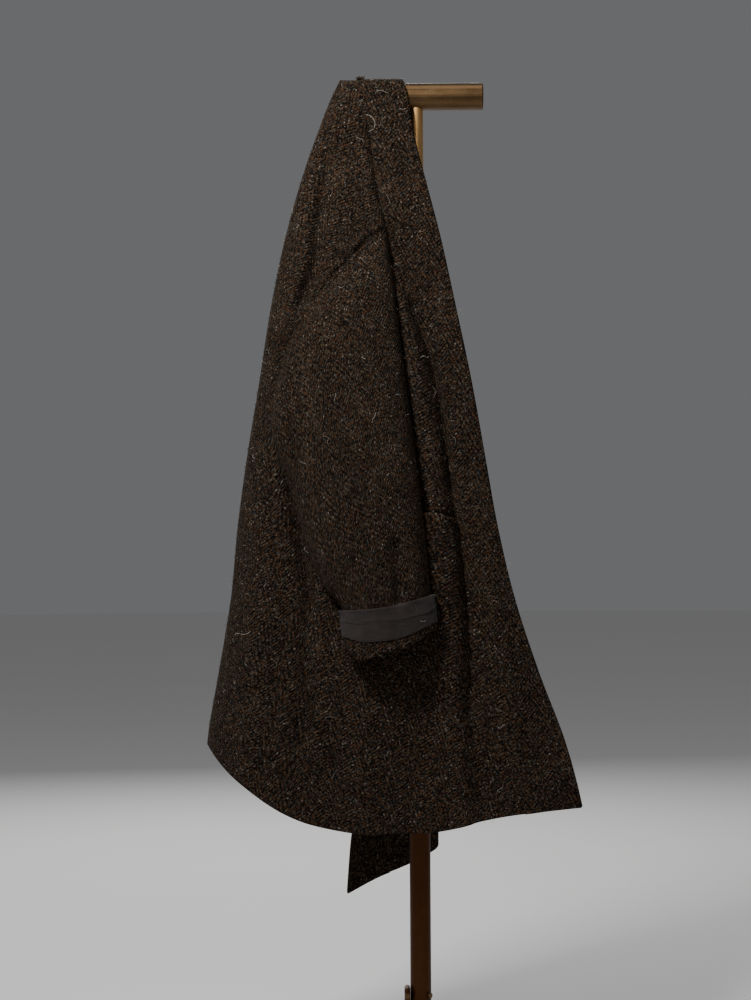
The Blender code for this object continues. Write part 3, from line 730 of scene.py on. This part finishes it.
def end_curve(level, share):
    """How much lower a sleeve's end hangs across its width than between its two edges."""
    across = np.sin(math.pi * np.clip(share, 0.0, 1.0))
    bow = BOW * ease(level, BOW_START, BOW_END) * across
    lip = LIP * ease(level, FACING_END, 1.0) * across
    return bow + lip + TOE * ease(level, TOE_START, 1.0) * bell(share, TOE_ACROSS, TOE_WIDTH)


def seam_pucker(level, share):
    """The seam allowance under the sleeve's head, raised and uneven."""
    ridge = bell(level, *SEAM_RIDGE)
    groove = bell(level, *SEAM_GROOVE)
    uneven = 1.0 + 0.5 * np.sin(share * 61) * np.sin(share * 23 + 1)
    return (ridge * uneven * 0.6 - groove) * mix(0.8, 1.5, ease(share, 0.3, 0.8))


def build_sleeve(word, side):
    along = np.concatenate((np.linspace(*SLEEVE_HEAD)[:-1], np.linspace(*SLEEVE_BODY),
                            [0.9965, 1.0]))
    outer = sleeve_rings(side, along, CLOTH / 2)
    inner = sleeve_rings(side, along, -CLOTH / 2)
    places = texture_places((outer + inner) / 2, 0, offset=0.02)
    return sheet(f"coat_sleeve_{word}", f"sleeve_{word}", outer, inner, places,
                 rests_on=f"coat_front_{word}", ring=True)


def build_cuff(word, side):
    """The sleeve's turned-up end, with a round bend under the sleeve's own edge."""
    rows = np.concatenate(([CUFF_START, CUFF_START + CUFF_SHORT_ROW], np.linspace(*CUFF_ROWS)))
    bend = np.linspace(0, math.pi / 2, CUFF_BEND)[1:]
    along = np.concatenate((rows, np.ones(len(bend))))

    def skin(out, below):
        """A skin that lies out from the sleeve and ends below and inside its edge."""
        level = np.zeros(len(rows))
        under = (out + CLOTH / 2) * np.cos(bend) - CLOTH / 2
        return sleeve_rings(side, along, np.concatenate((level + out, under)),
                            np.concatenate((level, below)))

    outer = skin(LAID_ON + CLOTH / 2, (SEAM_GAP + CLOTH) * np.sin(bend))
    inner = skin(LAID_ON - CLOTH / 2, SEAM_GAP * np.minimum(np.sin(bend) * 1.6, 1.0))
    places = texture_places((outer + inner) / 2, 0, offset=0.05)
    return sheet(f"coat_cuff_{word}", f"cuff_{word}", outer, inner, places, held="folded",
                 rests_on=f"coat_sleeve_{word}", ring=True)


def build_facing(word, side):
    """The linen band on the turned-up cuff, with a stitched tuck along its middle."""
    rows = np.concatenate(([CUFF_START, CUFF_START + FACING_SHORT_ROW],
                           np.linspace(*FACING_ROWS),
                           [FACING_END - FACING_SHORT_ROW, FACING_END]))
    turn = np.linspace(0, 1, SLEEVE_AROUND, endpoint=False)[:, None]
    stitches = TUCK_AT + 0.004 * np.sin(turn * 21) + 0.002 * np.sin(turn * 47 + 1)
    groove = swelling(rows, -TUCK_DEPTH, stitches, 0.0022)
    ridge = swelling(rows, 0.9, stitches - 0.006, 0.005)
    roll = swelling(rows, 0.7, CUFF_START + 0.003, 0.004)
    pucker = 0.25 * np.sin(turn * 190) * bell(rows, stitches, 0.006)
    lift = np.maximum(groove + ridge + roll + pucker, -TUCK_DEPTH)
    base = sleeve_rings(side, rows, FACING_OUT)
    outward = unit(sleeve_rings(side, rows, FACING_OUT + 0.5) - base)
    outer = base + outward * (FACING_CLOTH / 2 + lift)[..., None] * MM
    inner = base - outward * (FACING_CLOTH / 2) * MM
    places = texture_places((outer + inner) / 2, 0)
    return sheet(f"coat_facing_{word}", f"cuff_facing_{word}", outer, inner, places, held="laid",
                 rests_on=f"coat_cuff_{word}", ring=True, free="ns", thick=FACING_CLOTH,
                 slot="facing")


def build_pocket(word, side):
    """A patch pocket laid on the front, with a rolled top edge and its other edges sewn down."""
    across = spaced(POCKET_WIDTH)[:, None]
    down = spaced(POCKET_HEIGHT)[None, :]
    front_share = mix(*POCKET_SHARES, across)
    bottom = mix(LAST_LEVEL, hem_drop(side, front_x, front_share), POCKET_HEM_SHARE)
    levels = down * len(POCKET_LEVELS)
    last = len(POCKET_LEVELS) - 1
    upper = np.interp(levels, np.arange(len(POCKET_LEVELS)), POCKET_LEVELS)
    lower = mix(LAST_LEVEL, bottom, np.clip(levels - last, 0.0, 1.0))
    drops = np.where(levels > last, lower, upper)
    x = front_x(side, front_share, drops)
    open_out = POCKET_OPEN * np.sin(math.pi * across) * (1 - down) ** 2
    edge = np.minimum(across, 1 - across) * POCKET_WIDTH
    sewn = ease(np.minimum(edge, (1 - down) * POCKET_HEIGHT), 0.0, SEWN_DOWN)
    relief = swelling(down, *TOP_ROLL) + swelling(down, *TOP_DIP) + swelling(edge, *PRESSED)
    over = mix(CLOTH, LAID_ON + CLOTH / 2, sewn) + open_out + np.maximum(relief, TOP_DIP[0])
    under = mix(CLOTH / 2 + 0.1, LAID_ON - CLOTH / 2, sewn) + open_out
    base = place(side, x, drops)
    out = facing_out(side, x, drops)
    outer = base + out * over[..., None] * MM
    inner = base + out * under[..., None] * MM
    places = np.stack((x + POCKET_GRAIN, drops + POCKET_GRAIN), axis=-1) * MM
    return sheet(f"coat_pocket_{word}", f"pocket_{word}", outer, inner, places, held="laid",
                 rests_on=f"coat_front_{word}", free="nswe")


# Loose hairs and threads, as tubes in joined meshes.


TIP = 0.35
ROOT_DEPTH = 0.6
# Name, count, least and most length, least and most radius, least and most rise off the cloth,
# curl and points of each kind of hair.
HAIRS = (
    ("kemp_long", 760, (6.0, 20.0), (0.11, 0.21), (0.25, 0.9), 3.0, 9),
    ("kemp_short", 5600, (1.8, 6.0), (0.13, 0.24), (0.1, 0.9), 1.8, 4),
    ("wool_fuzz", 8200, (2.0, 6.5), (0.12, 0.24), (0.4, 2.6), 2.6, 4),
)
# The pale threads that the photograph shows: name, path of (x, drop), lift off the cloth, radius.
THREADS = (
    ("thread_loop", ((-71, 28), (-64, 30), (-59, 36), (-57, 43), (-59, 50), (-64, 53)), 4.2, 0.26),
    ("thread_low", ((-252, 749), (-248, 746), (-239, 747), (-233, 745), (-229, 742)), 2.4, 0.24),
)
FRAY_COUNT = 26
FRAY_X = -78.0
FRAY_RISE = 24.2


def tubes(name, lines, radii, tones, sides=3):
    """Tubes along lines, an array of tubes by points; a tone from 0 to 1 colours each."""
    count, length = lines.shape[:2]
    tangent = unit(np.gradient(lines, axis=1))
    helper = np.where(np.abs(tangent[..., 2:]) < 0.8, np.array([0.0, 0.0, 1.0]),
                      np.array([1.0, 0.0, 0.0]))
    first = unit(np.cross(tangent, helper))[:, :, None]
    second = np.cross(tangent, first[:, :, 0])[:, :, None]
    angle = (2 * math.pi * np.arange(sides) / sides)[:, None]
    ring = first * np.cos(angle) + second * np.sin(angle)
    thick = radii[:, None] * np.append(np.ones(length - 1), TIP)
    points = lines[:, :, None] + ring * thick[..., None, None]
    index = np.arange(count * length * sides).reshape(count, length, sides)
    turned = np.roll(index, -1, axis=2)
    quads = np.stack((index[:, :-1], turned[:, :-1], turned[:, 1:], index[:, 1:]), axis=-1)
    caps = index[:, 0, ::-1].tolist() + index[:, -1].tolist()
    tone = np.repeat(tones, length * sides)
    places = np.stack((tone, np.full(len(tone), 0.5)), axis=1)
    faces = quads.reshape(-1, 4).tolist() + caps
    return show(name, mesh_of(name, points.reshape(-1, 3), faces, places), "tweed")


def hair_roots(rng, count):
    """Random places on the outer skins, even by area: point, outward, across, down."""
    cells = []
    for outer, out in GRIDS:
        a = outer[1:, :-1] - outer[:-1, :-1]
        b = outer[:-1, 1:] - outer[:-1, :-1]
        area = np.linalg.norm(np.cross(a, b), axis=-1)
        cells.append((outer[:-1, :-1].reshape(-1, 3), out[:-1, :-1].reshape(-1, 3),
                      a.reshape(-1, 3), b.reshape(-1, 3), area.ravel()))
    point, out, a, b, area = (np.concatenate(group) for group in zip(*cells))
    chosen = rng.choice(len(area), size=count, p=area / area.sum())
    spot = point[chosen] + a[chosen] * rng.random((count, 1)) + b[chosen] * rng.random((count, 1))
    down = unit(b[chosen])
    outward = unit(out[chosen])
    return spot, outward, unit(np.cross(outward, down)), down


def hairs(name, rng, count, length, radius, rise, curl, points):
    """Hairs that start in the cloth and run along it or stand off it."""
    spot, out, across, down = hair_roots(rng, count)
    angle = rng.random((count, 1)) * 2 * math.pi
    heading = across * np.cos(angle) + down * np.sin(angle)
    sideways = np.cross(out, heading)
    long = mix(*length, rng.random(count) ** 1.8)[:, None] * MM
    step = long / (points - 1)
    lift = mix(*rise, rng.random((count, 1)))
    bend = (rng.random((count, 1)) - 0.5) * 2 * curl
    wobble = (rng.random((count, 1)) - 0.5) * curl
    line = [spot - out * ROOT_DEPTH * MM]
    turn = np.zeros((count, 1))
    for i in range(points - 1):
        share = i / max(points - 2, 1)
        turn = turn + bend / points + wobble * math.sin(share * 6.0) * 0.6
        up = lift * (1 - 1.5 * share)
        direction = unit(heading * np.cos(turn) + sideways * np.sin(turn) + out * up)
        line.append(line[-1] + direction * step)
    radii = mix(*radius, rng.random(count)) * MM
    return tubes(name, np.stack(line, axis=1), radii, rng.random(count))


def on_coat(side, points, lift):
    """A line through (x, drop) points on a half, smoothed, a lift outside the cloth."""
    last = len(points) - 1
    t = np.linspace(0, last, 4 * last + 1)
    line = table("at x drop", [(i, *point) for i, point in enumerate(points)])
    x, drop = read(line, "x", t), read(line, "drop", t)
    return place(side, x, drop) + facing_out(side, x, drop) * lift * MM


# Materials.


class Graph:
    """A material's node tree, with short calls for the nodes that are used here."""

    def __init__(self, name):
        self.material = bpy.data.materials.new(name)
        self.material.use_nodes = True
        self.tree = self.material.node_tree

    def fill(self, node, inputs):
        """Link or set a node's inputs, which are given by name or by number."""
        for key, value in inputs.items():
            if isinstance(value, bpy.types.NodeSocket):
                self.tree.links.new(value, node.inputs[key])
            else:
                node.inputs[key].default_value = value

    def node(self, kind, inputs, out=0, **settings):
        """An output of a new node."""
        made = self.tree.nodes.new(kind)
        for key, value in settings.items():
            setattr(made, key, value)
        self.fill(made, inputs)
        return made.outputs[out]

    def math(self, operation, *values):
        return self.node("ShaderNodeMath", dict(enumerate(values)), operation=operation)

    def times(self, a, b):
        return self.math("MULTIPLY", a, b)

    def wave(self, at, length):
        """A sine wave from 0 to 1."""
        swing = self.math("SINE", self.times(at, 2 * math.pi / length))
        return self.math("MULTIPLY_ADD", swing, 0.5, 0.5)

    def vector(self, operation, inputs):
        return self.node("ShaderNodeVectorMath", inputs, operation=operation)

    def combine(self, x, y, z=0.0):
        return self.node("ShaderNodeCombineXYZ", {0: x, 1: y, 2: z})

    def grey(self, value):
        return self.combine(value, value, value)

    def split(self, vector):
        return self.node("ShaderNodeSeparateXYZ", {0: vector}).node.outputs

    def mix(self, share, a, b, blend="MIX"):
        return self.node("ShaderNodeMix", {"Factor": share, 6: a, 7: b}, 2, data_type="RGBA",
                         blend_type=blend)

    def ramp(self, value, stops, interpolation="LINEAR"):
        colour = self.node("ShaderNodeValToRGB", {0: value})
        ramp = colour.node.color_ramp
        ramp.interpolation = interpolation
        while len(ramp.elements) < len(stops):
            ramp.elements.new(0.5)
        for element, (at, shade) in zip(ramp.elements, stops):
            element.position = at
            element.color = (*shade, 1.0)
        return colour

    def noise(self, vector, scale, detail=2.0, rough=0.5, out="Fac"):
        return self.node("ShaderNodeTexNoise", {"Vector": vector, "Scale": scale,
                                                "Detail": detail, "Roughness": rough}, out)

    def places(self, source="UV", scale=1000.0):
        """Texture places in millimetres."""
        return self.vector("SCALE", {0: self.node("ShaderNodeTexCoord", {}, source),
                                     "Scale": scale})

    def moved(self, vector, by, amount):
        """A vector moved by a colour's distance from grey."""
        away = self.vector("SUBTRACT", {0: by, 1: (0.5, 0.5, 0.5)})
        return self.vector("ADD", {0: vector, 1: self.vector("SCALE", {0: away, "Scale": amount})})

    def bump(self, height, distance, strength):
        return self.node("ShaderNodeBump", {"Height": height, "Strength": strength,
                                            "Distance": distance * MM})

    def surface(self, inputs):
        self.fill(self.tree.nodes["Principled BSDF"], inputs)
        return self.material


COLUMN_WIDTH = 18.0
RIB = 5.0
NUB = 1.8
# Painted shade: the valleys between the ribs are made to darken down the coat, by this much a
# millimetre, up to the second figure's distance, in place of the light falling off towards the
# bottom.
PAINTED_SHADE_PER_MM = 0.00008
PAINTED_SHADE_STOPS_AT = 1000.0
TWEED_COLOURS = (
    (0.0, (0.004, 0.0029, 0.0023)),
    (0.24, (0.015, 0.0098, 0.0068)),
    (0.42, (0.038, 0.0226, 0.013)),
    (0.58, (0.074, 0.033, 0.016)),
    (0.7, (0.058, 0.047, 0.033)),
    (0.79, (0.02, 0.0245, 0.026)),
    (0.87, (0.09, 0.059, 0.034)),
    (0.945, (0.09, 0.078, 0.064)),
    (0.99, (0.19, 0.164, 0.136)),
)
TWEED_GROUND = (0.024, 0.0152, 0.0095, 1.0)
LINEN_COLOURS = ((0.42, (0.011, 0.008, 0.0066)), (0.56, (0.023, 0.0166, 0.0146)),
                 (0.7, (0.046, 0.035, 0.031)))
WARP = 0.9
WEFT = 1.0
# Colours for tones from 0 to 1.
HAIR_COLOURS = {
    "kemp": ((0.0, (0.1, 0.075, 0.05)), (0.35, (0.28, 0.22, 0.16)), (0.75, (0.4, 0.35, 0.29)),
             (1.0, (0.62, 0.57, 0.5))),
    "kemp_fleck": ((0.0, (0.05, 0.028, 0.014)), (0.3, (0.11, 0.075, 0.045)),
                   (0.55, (0.07, 0.075, 0.085)), (0.8, (0.16, 0.13, 0.1)),
                   (1.0, (0.36, 0.32, 0.27))),
    "wool_hair": ((0.0, (0.01, 0.007, 0.005)), (0.5, (0.03, 0.018, 0.01)),
                  (0.85, (0.06, 0.035, 0.02)), (1.0, (0.15, 0.11, 0.08))),
}
# The stand's metals: dark, light and worn colours, roughness, and scales of the turned lines.
METALS = {
    "worn_brass": ((0.105, 0.06, 0.027), (0.15, 0.092, 0.044), (0.36, 0.28, 0.18), 0.33,
                   (0.02, 0.9, 0.9)),
    # Painted shade: the lower post's and lug's copper is made very dark, in place of the shade
    # that falls on them.
    "copper_painted_shade": ((0.048, 0.019, 0.008), (0.084, 0.035, 0.014), (0.15, 0.08, 0.04), 0.42,
                     (0.9, 0.9, 0.015)),
    # Painted light: the upright's brass is made far lighter than the bar's, in place of the light
    # and highlight on it.
    "brass_upright_painted_light": ((0.62, 0.36, 0.14), (0.78, 0.47, 0.2), (0.9, 0.64, 0.34), 0.34,
                      (0.9, 0.9, 0.015)),
    "dark_iron": ((0.03, 0.026, 0.023), (0.05, 0.044, 0.04), (0.1, 0.09, 0.08), 0.5,
                  (0.3, 0.3, 0.3)),
}
STAND = {"bar": "worn_brass", "post_upper": "brass_upright_painted_light", "post_lower": "copper_painted_shade",
         "base_plate": "dark_iron", "base_lug": "copper_painted_shade", "lug_bolt": "worn_brass",
         "post_bolt": "worn_brass"}
PAPER = (0.94, 0.93, 0.92)


def tweed(name):
    """Hairy herringbone wool: ribs in columns, nubs of mixed colours, dark between, with painted
    shade in the valleys that grows down the coat.
    """
    g = Graph(name)
    flat = g.places()
    moved = g.moved(flat, g.noise(flat, 0.045, 3.0, 0.6, "Color"), 3.4)
    moved = g.moved(moved, g.noise(flat, 0.42, 2.0, 0.6, "Color"), 0.9)
    u, v, _ = g.split(moved)
    column = g.math("FLOOR", g.math("DIVIDE", u, COLUMN_WIDTH))
    odd = g.math("FLOORED_MODULO", column, 2.0)
    rising = g.math("ADD", v, g.times(u, 0.62))
    steep = g.math("ADD", u, g.times(v, -0.30))
    rib_at, _, _ = g.split(g.mix(odd, g.grey(rising), g.grey(steep)))
    rib = g.wave(rib_at, RIB)

    nubs = g.node("ShaderNodeTexVoronoi", {"Vector": moved, "Scale": 1 / NUB}).node.outputs
    chance, tint, _ = g.split(nubs["Color"])
    colour = g.mix(g.times(tint, 0.25), g.ramp(chance, TWEED_COLOURS, "CONSTANT"), TWEED_GROUND)
    low = g.math("POWER", g.math("SUBTRACT", 1.0, rib), 2.2)
    depth = g.math("MULTIPLY_ADD", g.noise(flat, 0.011, 1.0), -0.9, -0.05)
    # Painted shade: the rib valleys are darkened more the further down the coat they are.
    painted_shade_down = g.times(g.math("MINIMUM", v, PAINTED_SHADE_STOPS_AT), PAINTED_SHADE_PER_MM)
    valley = g.math("MULTIPLY_ADD", low, g.math("SUBTRACT", depth, painted_shade_down), 1.05)
    patch = g.noise(flat, 0.016, 2.0, 0.55)
    edge = g.math("SUBTRACT", 1.15, g.times(nubs["Distance"], 0.75))
    strength = g.times(valley, g.math("MULTIPLY_ADD", patch, 0.75, 0.68))
    strength = g.times(strength, g.math("MINIMUM", edge, 1.0))
    colour = g.mix(1.0, colour, g.grey(strength), "MULTIPLY")

    high = g.math("SUBTRACT", 1.0, nubs["Distance"])
    height = g.math("ADD", g.times(rib, 0.9), high)
    height = g.math("ADD", height, g.times(g.noise(flat, 1.3, 3.0, 0.7), 0.8))
    return g.surface({
        "Base Color": colour, "Roughness": 0.93, "Normal": g.bump(height, 0.9, 0.9),
        "Specular IOR Level": 0.06, "Sheen Weight": 0.02, "Sheen Roughness": 0.5,
        "Sheen Tint": (0.75, 0.60, 0.45, 1.0)})


def linen(name):
    """Plain grey-brown linen with fine threads across and down."""
    g = Graph(name)
    flat = g.places()
    u, v, _ = g.split(g.moved(flat, g.noise(flat, 0.1, out="Color"), 1.2))
    slub = g.noise(g.combine(g.times(u, 0.06), g.times(v, 0.9)), 1.0)
    patch = g.noise(flat, 0.05, 3.0)
    height = g.math("ADD", g.times(g.wave(u, WARP), g.wave(v, WEFT)), slub)
    colour = g.ramp(g.math("MULTIPLY_ADD", height, 0.4, g.times(patch, 0.5)), LINEN_COLOURS)
    return g.surface({
        "Base Color": colour, "Roughness": 0.88, "Normal": g.bump(height, 0.5, 0.9),
        "Specular IOR Level": 0.25, "Sheen Weight": 0.06, "Sheen Roughness": 0.5})


def hair(name, roughness=0.55, gloss=0.3):
    """Hair with a colour for each tone from 0 to 1, a little uneven."""
    g = Graph(name)
    tone, _, _ = g.split(g.places(scale=1.0))
    grain = g.times(g.noise(g.places("Object"), 0.8), 0.35)
    colour = g.mix(grain, g.ramp(tone, HAIR_COLOURS[name]), (0.02, 0.015, 0.01, 1.0))
    return g.surface({"Base Color": colour, "Roughness": roughness, "Specular IOR Level": gloss})


def metal(name, dark, light, worn, roughness, scales):
    """Satin metal: fine turned lines, soft stains and a few scratches."""
    g = Graph(name)
    spot = g.places("Object")
    stretched = g.combine(*(g.times(part, scale) for part, scale in zip(g.split(spot), scales)))
    lines = g.noise(stretched, 1.0, 3.0, 0.6)
    stains = g.noise(spot, 0.035, 4.0, 0.6)
    marks = g.noise(spot, 0.30, 5.0, 0.75)
    colour = g.ramp(g.math("MULTIPLY_ADD", stains, 0.5, g.times(lines, 0.25)), (
        (0.25, dark), (0.55, light), (0.80, worn)))
    specks = g.ramp(marks, ((0.60, (0, 0, 0)), (0.68, (1, 1, 1))))
    rough = g.math("MULTIPLY_ADD", stains, 0.22, roughness - 0.10)
    height = g.math("ADD", lines, g.times(marks, 0.5))
    return g.surface({
        "Base Color": g.mix(g.times(specks, 0.35), colour, (*worn, 1.0)), "Metallic": 1.0,
        "Roughness": g.math("MULTIPLY_ADD", lines, 0.12, rough),
        "Normal": g.bump(height, 0.05, 0.5)})


def paper(name, colour):
    g = Graph(name)
    grain = g.noise(g.places("Object"), 0.002)
    shade = g.ramp(grain, ((0.0, tuple(0.97 * c for c in colour)), (1.0, colour)))
    return g.surface({"Base Color": shade, "Roughness": 0.9, "Specular IOR Level": 0.15})


def wear(thing, material):
    thing.data.materials.clear()
    thing.data.materials.append(material)


# Building everything.


def build_hairs():
    """The loose hairs all over the wool, and the materials that the threads share with them."""
    rng = np.random.default_rng(11)
    pale, speckle, brown = hair("kemp"), hair("kemp_fleck"), hair("wool_hair", 0.8, 0.05)
    for (name, *figures), material in zip(HAIRS, (pale, speckle, brown)):
        wear(hairs(name, rng, *figures), material)
    return pale, brown


def build_threads(pale, brown):
    """Loose ends that the photograph shows: pale threads and the frayed seam end on the ridge."""
    for name, path, lift, radius in THREADS:
        line = on_coat(RIGHT, path, lift)[None]
        wear(tubes(name, line, np.array([radius * MM]), np.array([0.8]), sides=5), pale)
    rng = np.random.default_rng(5)
    steps = np.linspace(0, 1, 8)
    lines = []
    for _ in range(FRAY_COUNT):
        y = rng.uniform(-4.0, 4.0)
        x = FRAY_X + rng.uniform(-4.0, 4.5)
        top = rng.uniform(2.0, 5.5)
        lean = rng.uniform(-4.0, 4.0)
        curl = rng.uniform(-2.5, 2.5)
        height = FRAY_RISE + top * np.sin(steps * math.pi * rng.uniform(0.5, 0.9))
        lines.append(point_at(x + lean * steps, y + curl * np.sin(steps * 4), -height))
    radii = rng.uniform(0.3, 0.6, FRAY_COUNT) * MM
    wear(tubes("seam_end_fray", np.array(lines), radii, rng.random(FRAY_COUNT), sides=4), brown)


def build_coat():
    wool = tweed("tweed_herringbone")
    band = linen("linen_facing")
    for thing in (build_back(), build_collar()):
        wear(thing, wool)
    for word, side in (("right", RIGHT), ("left", LEFT)):
        for build in (build_front, build_pocket, build_sleeve, build_cuff):
            wear(build(word, side), wool)
        wear(build_facing(word, side), band)


def finish_stand():
    metals = {name: metal(name, *figures) for name, figures in METALS.items()}
    for name, finish in STAND.items():
        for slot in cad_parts[name].material_slots:
            slot.material = metals[finish]


def light(name, spot, aim, power, size):
    data = bpy.data.lights.new(name, "AREA")
    data.energy = power
    data.shape = "RECTANGLE"
    data.size = data.size_y = size
    thing = add(name, data)
    thing.location = spot
    thing.rotation_euler = (Vector(aim) - Vector(spot)).to_track_quat("-Z", "Y").to_euler()
    thing.visible_camera = False


def build_studio():
    bm = bmesh.new()
    bmesh.ops.create_circle(bm, cap_ends=True, segments=96, radius=14.0)
    mesh = bpy.data.meshes.new("floor")
    bm.to_mesh(mesh)
    bm.free()
    floor = add("floor", mesh)
    floor.location = (0, 0, -0.0002)
    wear(floor, paper("pale_floor", PAPER))
    world = bpy.data.worlds.new("studio")
    world.use_nodes = True
    background = world.node_tree.nodes["Background"]
    background.inputs["Color"].default_value = (0.80, 0.81, 0.83, 1.0)
    background.inputs["Strength"].default_value = 0.18
    bpy.context.scene.world = world
    light("key", (-0.78, -1.25, 2.2), (0, 0, 1.7), 49.0, 0.4)
    light("front", (0.5, -2.8, 1.9), (0, 0, 1.2), 4.0, 0.8)
    light("top", (0.1, -0.3, 3.3), (0, 0, 1.0), 9.0, 0.9)
    light("rim", (-0.5, 3.0, 2.2), (0, 0, 0.9), 48.0, 1.4)


def build_camera():
    """The photograph's view: level, 3.3 m off, with a frame 1.4 m tall at the stand."""
    distance, tall, sensor = 3.3, 1.4, 36.0
    across, height, roll = -0.0595, 0.816, -0.0058
    data = bpy.data.cameras.new("camera")
    data.sensor_width = sensor
    data.lens = sensor * distance / tall
    camera = add("camera", data)
    level = Matrix.Rotation(math.pi / 2, 4, "X") @ Matrix.Rotation(roll, 4, "Z")
    camera.matrix_world = Matrix.Translation((across, -distance, height)) @ level
    bpy.context.scene.camera = camera


build_studio()
build_camera()
build_coat()
finish_stand()
kemp, wool_hair = build_hairs()
build_threads(kemp, wool_hair)
